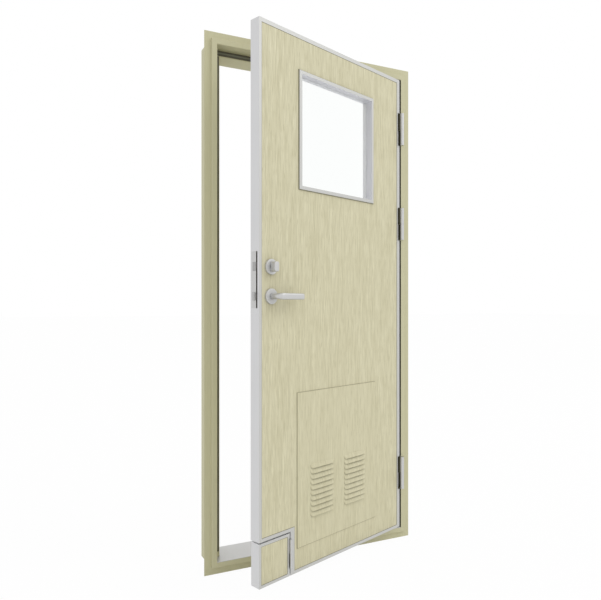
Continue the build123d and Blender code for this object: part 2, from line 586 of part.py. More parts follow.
    notch = block(flap_right - FLAP_NOTCH, flap_right, LEAF_Y, LEAF_Y + FLAP_NOTCH_DEPTH, low, high)
    bed = block(*flap_plate, LEAF_Y, reach, z0 + FLAP_HINGE_LENGTH / 2, z1)
    edging -= [notch, bed]
    leaf["flap_edging"] = edging
    leaf["flap_front_sheet"] = flap_front - notch
    leaf["flap_filling"] = flap_core - [notch, bed]
    leaf["flap_back_sheet"] = flap_back

    leaf["leaf_front_sheet"] = front_skin
    leaf["leaf_filling"] = core
    leaf["leaf_back_sheet"] = back_skin

    swing = Pos(HINGE_X, HINGE_Y, 0) * Rot(0, 0, OPEN_ANGLE) * Pos(-HINGE_X, -HINGE_Y, 0)
    return {**frame, **{name: swing * piece for name, piece in leaf.items()}}


if __name__ == "__main__":
    os.makedirs("parts", exist_ok=True)
    for node, piece in build().items():
        export_step(piece, f"parts/{node}.step")
        print(node, round(piece.volume))
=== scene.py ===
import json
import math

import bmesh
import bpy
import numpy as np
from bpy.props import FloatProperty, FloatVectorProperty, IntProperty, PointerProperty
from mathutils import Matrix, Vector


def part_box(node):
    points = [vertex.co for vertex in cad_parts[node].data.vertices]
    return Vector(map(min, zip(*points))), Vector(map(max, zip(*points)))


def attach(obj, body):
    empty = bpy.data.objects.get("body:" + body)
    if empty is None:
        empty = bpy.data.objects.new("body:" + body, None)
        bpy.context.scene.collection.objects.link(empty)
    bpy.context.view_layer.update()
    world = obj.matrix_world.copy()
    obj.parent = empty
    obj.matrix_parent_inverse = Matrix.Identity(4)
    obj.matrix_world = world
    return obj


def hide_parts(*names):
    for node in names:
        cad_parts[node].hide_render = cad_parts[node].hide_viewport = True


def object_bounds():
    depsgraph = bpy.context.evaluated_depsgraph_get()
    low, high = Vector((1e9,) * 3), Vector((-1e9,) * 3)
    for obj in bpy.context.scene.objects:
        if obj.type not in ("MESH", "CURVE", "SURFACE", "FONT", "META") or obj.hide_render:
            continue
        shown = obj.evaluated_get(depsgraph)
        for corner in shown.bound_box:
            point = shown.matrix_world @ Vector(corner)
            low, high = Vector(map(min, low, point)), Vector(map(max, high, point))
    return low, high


bl_info = {
    "name": "Ship's fire door",
    "version": (1, 0, 0),
    "blender": (4, 5, 0),
    "location": "View3D > Sidebar > Fire door",
    "description": "Dresses a packed fire door: grained film, satin steel, turned fittings, pressed louvres",
    "category": "Object",
}

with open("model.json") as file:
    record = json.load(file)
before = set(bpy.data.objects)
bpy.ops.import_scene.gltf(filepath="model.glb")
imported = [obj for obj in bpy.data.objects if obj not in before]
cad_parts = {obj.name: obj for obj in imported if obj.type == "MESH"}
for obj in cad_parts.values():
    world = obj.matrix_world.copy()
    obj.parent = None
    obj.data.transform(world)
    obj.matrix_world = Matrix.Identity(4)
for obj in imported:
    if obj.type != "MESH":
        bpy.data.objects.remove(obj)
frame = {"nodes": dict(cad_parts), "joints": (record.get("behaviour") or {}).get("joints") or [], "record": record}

CAD_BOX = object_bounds()
MM = 0.001

# The leaf stands open about its hinge pins, so its own pieces are worked out shut and then turned
SWING = next(joint for joint in frame["joints"] if joint["name"] == "leaf_swing")
PIN = np.array(SWING["pos_m"])
OPEN_ANGLE = math.radians(-SWING["range_deg"][0])
# Directions on the open leaf: out of its back, and from its free edge to its hinges
LEAF_BACKWARD = np.array((-math.sin(OPEN_ANGLE), math.cos(OPEN_ANGLE), 0.0))
LEAF_TO_HINGE = np.array((math.cos(OPEN_ANGLE), math.sin(OPEN_ANGLE), 0.0))

# Camera of the photograph, fitted to the door's edges; pixels are those of the 601 x 600 frame
CAMERA_PLACE = (-1.16655, -2.26665, 1.04429)
CAMERA_TURN = math.radians(-25.917)
FOCAL_PIXELS = 606.04
FRAME_PIXELS = 601.0
HORIZON_BELOW_MIDDLE = 5.567
SENSOR_MM = 36.0

# A large lamp well to the right of the camera, far enough to light the leaf evenly from top to bottom
KEY_PLACE = (4.8, -4.6, 6.6)
KEY_SIZE = 5.0
# A weaker one low on the left, for the leaf's free edge and the jamb that the leaf shades
FILL_PLACE = (-6.0, -4.0, 1.0)
FILL_SIZE = 4.0
LAMP_AIM = (0.0, 0.0, 1.0)

# How finely the surfaces are divided
ROUND_STEPS = 64
BEND_STEPS = 18
EDGE_STEPS = 8
SHARP_ANGLE = math.radians(38)
MERGE_DISTANCE = 0.01 * MM


def linear(red, green, blue):
    """Scene-linear colour of an sRGB colour given as 0 to 255, by the sRGB transfer curve."""
    c = np.array((red, green, blue)) / 255
    return tuple(np.where(c <= 0.04045, c / 12.92, ((c + 0.055) / 1.055) ** 2.4))


def turned(points, angle):
    """Points turned about the hinge pins: (x, y) is rotated by the angle round the pin, z stays."""
    offset = np.asarray(points, float) - PIN * (1, 1, 0)
    c, s = math.cos(angle), math.sin(angle)
    x = c * offset[..., 0] - s * offset[..., 1]
    y = s * offset[..., 0] + c * offset[..., 1]
    return np.stack((x + PIN[0], y + PIN[1], offset[..., 2]), -1)


def shut_box(node):
    """Lowest and highest corner of a leaf node as it lies with the leaf shut."""
    mesh = frame["nodes"][node].data
    flat = np.empty(3 * len(mesh.vertices), np.float32)
    mesh.vertices.foreach_get("co", flat)
    shut = turned(flat.reshape(-1, 3), -OPEN_ANGLE)
    return shut.min(0), shut.max(0)


def standing_box(node):
    """Lowest and highest corner of a node as it stands."""
    low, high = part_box(node)
    return np.array(low), np.array(high)


def quads(rows, columns, wrap_rows=False, wrap_columns=False):
    """Four-sided faces of a grid of points, joined across its last row or column where that wraps."""
    i = np.arange(rows if wrap_rows else rows - 1)[:, None]
    j = np.arange(columns if wrap_columns else columns - 1)[None, :]
    i_next, j_next = (i + 1) % rows, (j + 1) % columns
    corners = (i * columns + j, i * columns + j_next, i_next * columns + j_next, i_next * columns + j)
    return np.stack(np.broadcast_arrays(*corners), -1).reshape(-1, 4)


def joined(surfaces):
    """One array of points and one of faces from several (points, faces) pairs."""
    points, faces, start = [], [], 0
    for grid, grid_faces in surfaces:
        flat = grid.reshape(-1, 3)
        points.append(flat)
        faces.append(grid_faces + start)
        start += len(flat)
    return np.concatenate(points), np.concatenate(faces)


def facing_out(grid, faces, outward):
    """The faces of one open grid, turned round where most of their area looks away from outward."""
    corners = grid.reshape(-1, 3)[faces]
    normals = np.cross(corners[:, 2] - corners[:, 0], corners[:, 3] - corners[:, 1])
    return faces if (normals @ np.asarray(outward)).sum() >= 0 else faces[:, ::-1]


def sharpen_rims(mesh):
    """Marks the free edges of an open sheet as sharp, so that a wall added there keeps its flat face flat."""
    edge_of_corner = np.empty(len(mesh.loops), np.int32)
    mesh.loops.foreach_get("edge_index", edge_of_corner)
    sharp = np.empty(len(mesh.edges), bool)
    mesh.edges.foreach_get("use_edge_sharp", sharp)
    free = np.bincount(edge_of_corner, minlength=len(mesh.edges)) == 1
    mesh.edges.foreach_set("use_edge_sharp", sharp | free)


def make_piece(name, surfaces, body, material, replaced=(), outward=None, ring=None):
    """A piece from grids: a smooth mesh in its place, with poles merged and faces outwards.

    outward is a direction that an open sheet has to face; a closed shell is turned by its own volume. ring
    holds one value for each point, which the turned finish reads."""
    if outward is not None:
        surfaces = [(grid, facing_out(grid, faces, outward)) for grid, faces in surfaces]
    points, faces = joined(surfaces)
    mesh = bpy.data.meshes.new(name)
    mesh.from_pydata(points.tolist(), [], faces.tolist())
    if ring is not None:
        mesh.attributes.new("ring", "FLOAT", "POINT").data.foreach_set("value", ring.astype(np.float32))
    shape = bmesh.new()
    shape.from_mesh(mesh)
    bmesh.ops.remove_doubles(shape, verts=shape.verts, dist=MERGE_DISTANCE)
    if outward is None:
        bmesh.ops.recalc_face_normals(shape, faces=shape.faces)
    shape.to_mesh(mesh)
    shape.free()
    mesh.shade_smooth()
    mesh.set_sharp_from_angle(angle=SHARP_ANGLE)
    sharpen_rims(mesh)
    mesh.materials.append(material)
    piece = bpy.data.objects.new(name, mesh)
    bpy.context.scene.collection.objects.link(piece)
    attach(piece, body)
    if replaced:
        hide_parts(*replaced)
    return piece


def revolved(radii, depths, centre, axis, closed_profile):
    """A profile (radius, depth) carried round a line: centre + depth axis + radius (cos a, sin a) across."""
    axis = np.asarray(axis, float)
    across = np.array((0.0, 0.0, 1.0))
    side = np.cross(axis, across)
    angle = np.linspace(0, 2 * np.pi, ROUND_STEPS, endpoint=False)
    round_it = np.cos(angle)[:, None] * side + np.sin(angle)[:, None] * across
    radii, depths = np.asarray(radii, float), np.asarray(depths, float)
    grid = centre + depths[:, None, None] * axis + radii[:, None, None] * round_it
    return grid, quads(len(radii), ROUND_STEPS, wrap_rows=closed_profile, wrap_columns=True)


# Shader helpers

def add(tree, kind, sockets=None, **settings):
    """A node with its settings; each named or numbered input gets a value or a link from another socket."""
    made = tree.nodes.new(kind)
    for key, value in settings.items():
        setattr(made, key, value)
    for key, value in (sockets or {}).items():
        if isinstance(value, bpy.types.NodeSocket):
            tree.links.new(value, made.inputs[key])
        else:
            made.inputs[key].default_value = value
    return made


def math_node(tree, operation, first, second=0.5):
    """The result of one sum on two values."""
    return add(tree, "ShaderNodeMath", {0: first, 1: second}, operation=operation).outputs[0]


def blended(tree, factor, first, second, kind="MIX"):
    """A colour between two others, or another kind of blend of them."""
    mix = add(tree, "ShaderNodeMix", {0: factor, 6: first, 7: second}, data_type="RGBA", blend_type=kind)
    return mix.outputs[2]


def streaks(tree, vector, scale, detail):
    """Noise in coordinates stretched by a scale for each axis, so it draws out along the smallest one."""
    stretched = add(tree, "ShaderNodeVectorMath", {0: vector, 1: scale}, operation="MULTIPLY").outputs[0]
    return add(tree, "ShaderNodeTexNoise", {"Vector": stretched, "Scale": 1.0, "Detail": detail}).outputs[0]


def new_group(name, inputs, outputs):
    """An empty shader node group with named sockets; gives the group, its input node and its output node."""
    tree = bpy.data.node_groups.new(name, "ShaderNodeTree")
    for label, kind in inputs:
        tree.interface.new_socket(label, in_out="INPUT", socket_type=kind)
    for label, kind in outputs:
        tree.interface.new_socket(label, in_out="OUTPUT", socket_type=kind)
    return tree, add(tree, "NodeGroupInput").outputs, add(tree, "NodeGroupOutput").inputs


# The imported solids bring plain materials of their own, so the finishes carry this ending
FINISH = "_finish"
COLOUR_SOCKET = ("Color", "NodeSocketColor")
FINISH_OUTPUTS = [COLOUR_SOCKET, ("Roughness", "NodeSocketFloat"), ("Height", "NodeSocketFloat")]

# Grain of the film: how many streaks to a metre across and along, and their share of the pattern
BROAD_STREAKS = ((45.0, 45.0, 3.0), 0.35)
MIDDLE_STREAKS = ((150.0, 150.0, 9.0), 0.80)
FINE_STREAKS = ((360.0, 360.0, 16.0), 0.85)
PORES = (520.0, 520.0, 24.0)
PORE_START = 0.60
PORE_FULL = 0.70
PORE_DEPTH = 0.45
STREAK_DETAIL = 3.0
PORE_DETAIL = 1.0
GRAIN_ROUGHNESS = 0.12

# Slow clouds to a metre in steel and in soft stuff, and how far streaks and specks shift the roughness
HANDLING_CLOUD = (7.0, 7.0, 7.0)
SOFT_CLOUD = (12.0, 12.0, 12.0)
CLOUD_DETAIL = 2.0
BRUSH_DETAIL = 4.0
BRUSH_SHARE = 0.6
BRUSH_ROUGHNESS = 0.22
SPECK_DETAIL = 3.0
SPECK_ROUGHNESS = 0.15

# Painted shade on the film where nearby surfaces shut it in: how far off they still darken it,
# and its share in a corner that is shut in all round
CORNER_SHADE_REACH = 110 * MM
CORNER_SHADE_SHARE = 0.65
CORNER_SHADE_SAMPLES = 8


def film_grain_group():
    """Wood-like grain in a film: three sizes of upright streaks are summed, and short pores darken them."""
    inputs = [("Vector", "NodeSocketVector"), ("Pale", "NodeSocketColor"), ("Dark", "NodeSocketColor"),
              ("Contrast", "NodeSocketFloat"), ("Sheen", "NodeSocketFloat")]
    tree, given, result = new_group("film_grain", inputs, FINISH_OUTPUTS)
    total = None
    for scale, share in (BROAD_STREAKS, MIDDLE_STREAKS, FINE_STREAKS):
        centred = math_node(tree, "SUBTRACT", streaks(tree, given["Vector"], scale, STREAK_DETAIL), 0.5)
        part = math_node(tree, "MULTIPLY", centred, share)
        total = part if total is None else math_node(tree, "ADD", total, part)
    short = streaks(tree, given["Vector"], PORES, PORE_DETAIL)
    pores = add(tree, "ShaderNodeMapRange", {0: short, 1: PORE_START, 2: PORE_FULL})
    pore_share = math_node(tree, "MULTIPLY", pores.outputs[0], PORE_DEPTH)
    darkness = math_node(tree, "ADD", math_node(tree, "MULTIPLY", total, given["Contrast"]), 0.5)
    shade = math_node(tree, "ADD", darkness, math_node(tree, "MULTIPLY", pore_share, given["Contrast"]))
    shade.node.use_clamp = True
    tree.links.new(blended(tree, shade, given["Pale"], given["Dark"]), result["Color"])
    rougher = math_node(tree, "MULTIPLY", total, GRAIN_ROUGHNESS)
    tree.links.new(math_node(tree, "ADD", rougher, given["Sheen"]), result["Roughness"])
    tree.links.new(math_node(tree, "SUBTRACT", total, pore_share), result["Height"])
    return tree


def brushed_group():
    """Drawn or brushed metal: fine streaks along one direction, with slow cloudy handling marks over them.

    Where Facing nears 1 the colour is multiplied by the face tint, a painted shade or painted light for what looks
    to the leaf's front or back."""
    inputs = [("Vector", "NodeSocketVector"), ("Grain", "NodeSocketVector"), ("Metal", "NodeSocketColor"),
              ("Shade", "NodeSocketColor"), ("Sheen", "NodeSocketFloat"), ("Facing", "NodeSocketFloat"),
              ("Face Tint", "NodeSocketColor")]
    tree, given, result = new_group("brushed_metal", inputs, FINISH_OUTPUTS)
    lines = streaks(tree, given["Vector"], given["Grain"], BRUSH_DETAIL)
    cloud = streaks(tree, given["Vector"], HANDLING_CLOUD, CLOUD_DETAIL)
    line_part = math_node(tree, "MULTIPLY", lines, BRUSH_SHARE)
    mixed = math_node(tree, "ADD", line_part, math_node(tree, "MULTIPLY", cloud, 1 - BRUSH_SHARE))
    metal = blended(tree, mixed, given["Shade"], given["Metal"])
    tint = blended(tree, given["Facing"], opaque((1, 1, 1)), given["Face Tint"])
    tree.links.new(blended(tree, 1.0, metal, tint, "MULTIPLY"), result["Color"])
    spread = math_node(tree, "MULTIPLY", math_node(tree, "SUBTRACT", mixed, 0.5), BRUSH_ROUGHNESS)
    tree.links.new(math_node(tree, "ADD", spread, given["Sheen"]), result["Roughness"])
    tree.links.new(lines, result["Height"])
    return tree


def cloudy_group():
    """Soft or fibrous stuff: fine specks over slow clouds shift its colour, roughness and height."""
    inputs = [("Vector", "NodeSocketVector"), ("Grain", "NodeSocketVector"), ("Pale", "NodeSocketColor"),
              ("Dark", "NodeSocketColor"), ("Sheen", "NodeSocketFloat")]
    tree, given, result = new_group("cloudy_specks", inputs, FINISH_OUTPUTS)
    specks = streaks(tree, given["Vector"], given["Grain"], SPECK_DETAIL)
    cloud = streaks(tree, given["Vector"], SOFT_CLOUD, CLOUD_DETAIL)
    mixed = math_node(tree, "MULTIPLY", math_node(tree, "ADD", specks, cloud), 0.5)
    tree.links.new(blended(tree, mixed, given["Dark"], given["Pale"]), result["Color"])
    rougher = math_node(tree, "MULTIPLY", specks, SPECK_ROUGHNESS)
    tree.links.new(math_node(tree, "ADD", rougher, given["Sheen"]), result["Roughness"])
    tree.links.new(specks, result["Height"])
    return tree


def corner_shade_group():
    """Painted shade in corners: a dark colour is mixed in by a share of how far nearby surfaces shut a point in.
    """
    inputs = [COLOUR_SOCKET, ("Dust", "NodeSocketColor")]
    tree, given, result = new_group("gathered_dust", inputs, [COLOUR_SOCKET])
    near = add(tree, "ShaderNodeAmbientOcclusion", {"Distance": CORNER_SHADE_REACH}, samples=CORNER_SHADE_SAMPLES)
    shut_in = math_node(tree, "SUBTRACT", 1.0, near.outputs["AO"])
    share = math_node(tree, "MULTIPLY", shut_in, CORNER_SHADE_SHARE)
    tree.links.new(blended(tree, share, given["Color"], given["Dust"]), result["Color"])
    return tree


def finish(name):
    """The finish made for a material slot or a kind of piece."""
    return bpy.data.materials[name + FINISH]


def opaque(colour):
    """A colour with full alpha for a shader socket."""
    return (*colour, 1.0)


def finish_material(name, effect, values, bump, turn=0.0, metallic=0.0, attribute=None, specular=0.5,
                    painted_by_facing=False, deep=1.0, corner_shade=None):
    """A finish whose colour, roughness and bump come from one effect, in the piece's own turned coordinates.

    Its pattern is drawn out by deep through the leaf's thickness, so that it runs on over what is pressed out
    of a sheet. A finish painted by facing gets painted shade or painted light on the surfaces that look to the
    leaf's front or back, apart from those across its edges. The painted shade in corners is an effect and a
    colour that darken the surface close to what stands on it."""
    material = bpy.data.materials.new(name + FINISH)
    material.use_nodes = True
    tree = material.node_tree
    tree.nodes.clear()
    if attribute:
        ring = add(tree, "ShaderNodeAttribute", attribute_name=attribute)
        vector = add(tree, "ShaderNodeCombineXYZ", {0: ring.outputs["Fac"]}).outputs[0]
    else:
        place = add(tree, "ShaderNodeTexCoord").outputs["Object"]
        mapping = {"Vector": place, "Rotation": (0, 0, turn), "Scale": (1, deep, 1)}
        vector = add(tree, "ShaderNodeMapping", mapping, vector_type="TEXTURE").outputs[0]
    group = add(tree, "ShaderNodeGroup", {"Vector": vector, **values}, node_tree=effect)
    # Painted shade and light by facing: what looks to the leaf's front or back gets the painted facing tint
    if painted_by_facing:
        normal = add(tree, "ShaderNodeTexCoord").outputs["Normal"]
        along = add(tree, "ShaderNodeVectorMath", {0: normal, 1: LEAF_BACKWARD}, operation="DOT_PRODUCT")
        tree.links.new(math_node(tree, "ABSOLUTE", along.outputs["Value"]), group.inputs["Facing"])
    colour = group.outputs["Color"]
    # Painted shade: the film darkens where nearby surfaces shut it in
    if corner_shade:
        shade_tree, tone = corner_shade
        sockets = {"Color": colour, "Dust": opaque(tone)}
        colour = add(tree, "ShaderNodeGroup", sockets, node_tree=shade_tree).outputs["Color"]
    height = group.outputs["Height"]
    raised = add(tree, "ShaderNodeBump", {"Height": height, "Strength": 1.0, "Distance": bump})
    shader = add(tree, "ShaderNodeBsdfPrincipled", {
        "Base Color": colour, "Roughness": group.outputs["Roughness"], "Normal": raised.outputs[0],
        "Metallic": metallic, "Specular IOR Level": specular})
    add(tree, "ShaderNodeOutputMaterial", {0: shader.outputs[0]})
    return material


# The pane's tint, and how many of its slow drifts go to a metre
PANE_CLEAR = (0.985, 0.995, 0.99)
PANE_TINTED = (0.965, 0.985, 0.975)
PANE_DRIFT = (3.0, 3.0, 3.0)
PANE_DETAIL = 1.0
PANE_IOR = 1.45


def pane_material():
    """Clear fire glass without wires: a faint green tint that drifts a little across the pane."""
    material = bpy.data.materials.new("window_pane" + FINISH)
    material.use_nodes = True
    tree = material.node_tree
    tree.nodes.clear()
    place = add(tree, "ShaderNodeTexCoord").outputs["Object"]
    drift = streaks(tree, place, PANE_DRIFT, PANE_DETAIL)
    tint = blended(tree, drift, opaque(PANE_CLEAR), opaque(PANE_TINTED))
    shader = add(tree, "ShaderNodeBsdfPrincipled", {
        "Base Color": tint, "Roughness": 0.0, "Transmission Weight": 1.0, "IOR": PANE_IOR})
    add(tree, "ShaderNodeOutputMaterial", {0: shader.outputs[0]})
    return material


# Settings that a user would change

class FireDoorFilm(bpy.types.PropertyGroup):
    """Colours and grain of the film on the leaf and of the coat on the frame."""
    leaf_pale: FloatVectorProperty(
        name="Leaf pale", description="Paler colour of the leaf's grain",
        default=linear(224, 219, 189), subtype="COLOR")
    leaf_dark: FloatVectorProperty(
        name="Leaf dark", description="Darker colour of the leaf's grain",
        default=linear(196, 190, 157), subtype="COLOR")
    frame_pale: FloatVectorProperty(
        name="Frame pale", description="Paler colour of the frame's coat",
        default=linear(206, 203, 170), subtype="COLOR")
    frame_dark: FloatVectorProperty(
        name="Frame dark", description="Darker colour of the frame's coat",
        default=linear(198, 194, 160), subtype="COLOR")
    # Painted shade: the dark colour mixed into the leaf's film close to its fittings and in the louvres' valleys
    corner_shade: FloatVectorProperty(
        name="Dust", description="Colour that gathers on the leaf close to its fittings",
        default=linear(128, 123, 98), subtype="COLOR")
    contrast: FloatProperty(
        name="Grain contrast", description="How strongly the streaks show",
        default=1.7)
    tray_contrast: FloatProperty(
        name="Tray contrast", description="How strongly the streaks show on the kick-out panel",
        default=1.2)
    bump: FloatProperty(
        name="Grain depth", description="Height of the grain",
        default=0.05 * MM, unit="LENGTH")


class FireDoorMetal(bpy.types.PropertyGroup):
    """Colours of the steel, seals and filling, and of the dark strip and pads that are painted shade; some steel
    tones are painted shade or light.
    """
    edge: FloatVectorProperty(
        name="Edging", description="Colour of the satin edging and sill",
        default=linear(224, 224, 225), subtype="COLOR")
    # Painted shade: the steel that looks to the leaf's front or back is darker than the edging, for how the light
    # falls on it
    lip: FloatVectorProperty(
        name="Lips", description="Colour of the steel that lies flat on the leaf's faces",
        default=linear(207, 207, 204), subtype="COLOR")
    # Painted light: the window frames' inner sides are paler than the edging, standing in for light that the deep
    # reveal shuts out
    reveal: FloatVectorProperty(
        name="Window reveal", description="Colour of the window frames' inner sides",
        default=linear(244, 244, 249), subtype="COLOR")
    fittings: FloatVectorProperty(
        name="Fittings", description="Colour of the hinges, lock and levers",
        default=linear(210, 210, 209), subtype="COLOR")
    rubber: FloatVectorProperty(
        name="Rubber", description="Colour of the seals",
        default=linear(84, 82, 70), subtype="COLOR")
    bulb: FloatVectorProperty(
        name="Seal bulb", description="Colour of the seal's raised bulb",
        default=linear(116, 117, 104), subtype="COLOR")
    gasket: FloatVectorProperty(
        name="Glazing gasket", description="Colour of the gaskets against the glass",
        default=linear(238, 238, 244), subtype="COLOR")
    # Painted shade: the strip in the hinge gap is near-black, standing in for the deep shade of the gap
    strip: FloatVectorProperty(
        name="Gap strip", description="Colour of the graphite strip in the hinge gap",
        default=linear(34, 33, 27), subtype="COLOR")
    # Painted shade: dark pads standing in for the deep shade in the gaps round the hinges' knuckles
    pad: FloatVectorProperty(
        name="Hinge pads", description="Colour of the graphite pads round the hinges",
        default=linear(92, 90, 76), subtype="COLOR")
    # Lit and shaded copies of one steel: the bolts' sides are paler than their ends, painted light on the latch's
    # side, which lies in shade
    bolt: FloatVectorProperty(
        name="Bolts", description="Colour of the ends of the latch and the deadbolt",
        default=linear(178, 178, 177), subtype="COLOR")
    bolt_side_painted_light: FloatVectorProperty(
        name="Bolt sides", description="Colour of the sides of the latch and the deadbolt",
        default=linear(212, 212, 211), subtype="COLOR")
    # Partly a dark sealant joint and partly painted shade: the beads stand for the shadow lines where lips and the
    # window trim stand proud of the film
    joint: FloatVectorProperty(
        name="Joint", description="Colour of the bead where film meets edging",
        default=linear(132, 129, 108), subtype="COLOR")
    # Painted shade along the louvred tray's edge, as a paler bead
    seam: FloatVectorProperty(
        name="Tray seam", description="Colour of the bead round the louvred tray",
        default=linear(166, 161, 134), subtype="COLOR")
    filling: FloatVectorProperty(
        name="Filling", description="Colour of the mineral wool",
        default=linear(150, 142, 108), subtype="COLOR")


class FireDoorShapes(bpy.types.PropertyGroup):
    """Sizes of the pieces that stand for plainer solids or are added to them."""
    lever_bend: FloatProperty(
        name="Lever bend", description="Radius of the lever's bend at its middle",
        default=15 * MM, unit="LENGTH")
    lever_tip: FloatProperty(
        name="Lever tip", description="Radius of the grip at its free end",
        default=9.9 * MM, unit="LENGTH")
    rose_rim: FloatProperty(
        name="Rose rim", description="Rounding of the roses' rim",
        default=2.2 * MM, unit="LENGTH")
    turn_rounding: FloatProperty(
        name="Thumb turn rounding", description="Rounding of the thumb turn's front edge",
        default=3 * MM, unit="LENGTH")
    louvres: IntProperty(
        name="Louvres", description="Hoods in each bank",
        default=10)
    louvre_pitch: FloatProperty(
        name="Louvre pitch", description="Height from one hood to the next",
        default=20.4 * MM, unit="LENGTH")
    louvre_length: FloatProperty(
        name="Louvre length", description="Length of a hood",
        default=136 * MM, unit="LENGTH")
    louvre_height: FloatProperty(
        name="Louvre height", description="Height of a hood",
        default=18 * MM, unit="LENGTH")
    louvre_depth: FloatProperty(
        name="Louvre depth", description="How far a hood stands out",
        default=6.5 * MM, unit="LENGTH")
    louvre_corner: FloatProperty(
        name="Louvre corner", description="Rounding of a hood's lower corners",
        default=11 * MM, unit="LENGTH")
    bank_spacing: FloatProperty(
        name="Bank spacing", description="Between the middles of the two banks",
        default=197 * MM, unit="LENGTH")
    bank_bottom: FloatProperty(
        name="Bank foot", description="From the front sheet's foot up to the lowest hood",
        default=98 * MM, unit="LENGTH")
    tray_fold: FloatProperty(
        name="Tray fold", description="Rounding of the front tray's folded edge",
        default=1 * MM, unit="LENGTH")
    flap_lip: FloatProperty(
        name="Flap lip", description="Width of the steel lip round the hose flap",
        default=10 * MM, unit="LENGTH")
    joint: FloatProperty(
        name="Joint bead", description="Width of the bead where film meets edging",
        default=1.6 * MM, unit="LENGTH")
    foot_bead: FloatProperty(
        name="Foot bead", description="Width of the bead round the window trim and the tray",
        default=2.0 * MM, unit="LENGTH")
    band: FloatProperty(
        name="Glazing band", description="How far the band covers the pane's rim",
        default=2.8 * MM, unit="LENGTH")
    band_rounding: FloatProperty(
        name="Band rounding", description="Rounding of the band's inner edges",
        default=0.8 * MM, unit="LENGTH")
    notch_width: FloatProperty(
        name="Notch width", description="Width of the leaf's notch at a hinge",
        default=13 * MM, unit="LENGTH")
    notch_depth: FloatProperty(
        name="Notch depth", description="Depth of the leaf's notch at a hinge",
        default=16 * MM, unit="LENGTH")
    notch_margin: FloatProperty(
        name="Notch margin", description="Room above and below a hinge in its notch",
        default=2 * MM, unit="LENGTH")
    pad_reach: FloatProperty(
        name="Pad reach", description="How far the pads on the hinge plates reach to the knuckle",
        default=7 * MM, unit="LENGTH")
    hinge_plate: FloatProperty(
        name="Hinge plate", description="Thickness of a hinge's plate",
        default=3 * MM, unit="LENGTH")
    sheet: FloatProperty(
        name="Sheet", description="Thickness of the pressed sheet",
        default=1.5 * MM, unit="LENGTH")


class FireDoorStage(bpy.types.PropertyGroup):
    """Light and floor round the door."""
    ambient: FloatProperty(
        name="Ambient", description="Strength of the light from all round",
        default=0.83)
    key_power: FloatProperty(
        name="Key light", description="Power of the large lamp, in watts",
        default=140.0, unit="POWER")
    fill_power: FloatProperty(
        name="Fill light", description="Power of the low lamp on the left, in watts",
        default=10.0, unit="POWER")
    floor_glow: FloatProperty(
        name="Floor white", description="Share of plain white in the floor as it is seen",
        default=0.97, subtype="FACTOR")


# Operators

# Streaks or specks to a metre along each axis, in the steels, the seals and the filling
UPRIGHT_BRUSH = (700.0, 700.0, 12.0)
LEVEL_BRUSH = (14.0, 700.0, 700.0)
RING_BRUSH = (1500.0, 0.0, 0.0)
RUBBER_SPECKS = (900.0, 900.0, 900.0)
WOOL_FIBRES = (260.0, 260.0, 90.0)
# How far the film's pattern is drawn out through the leaf's thickness, and how strong the coat's pattern is
FILM_DEEP = 20.0
COAT_CONTRAST = 0.8
# Tone of the darker streaks in steel, and of the paler and darker specks in soft stuff
STEEL_SHADE = 0.86
SPECK_PALE = 1.25
SPECK_DARK = 0.75
# Middle roughness of each finish
FILM_SHEEN = 0.58
COAT_SHEEN = 0.52
EDGE_SHEEN = 0.5
FITTING_SHEEN = 0.46
BOLT_SHEEN = 0.4
TURNED_SHEEN = 0.44
RUBBER_SHEEN = 0.6
GASKET_SHEEN = 0.55
SHADE_STRIP_SHEEN = 0.7
WOOL_SHEEN = 0.8
# Share of metal in the steels, and highlights weaker than the usual ones
SATIN_METAL = 0.5
FITTING_METAL = 0.85
BOLT_METAL = 0.2
MATT_SPECULAR = 0.25
DULL_SPECULAR = 0.08
# Height of the fine relief
BRUSH_BUMP = 0.01 * MM
RING_BUMP = 0.015 * MM
RUBBER_BUMP = 0.03 * MM
SHADE_STRIP_BUMP = 0.05 * MM
WOOL_BUMP = 0.6 * MM


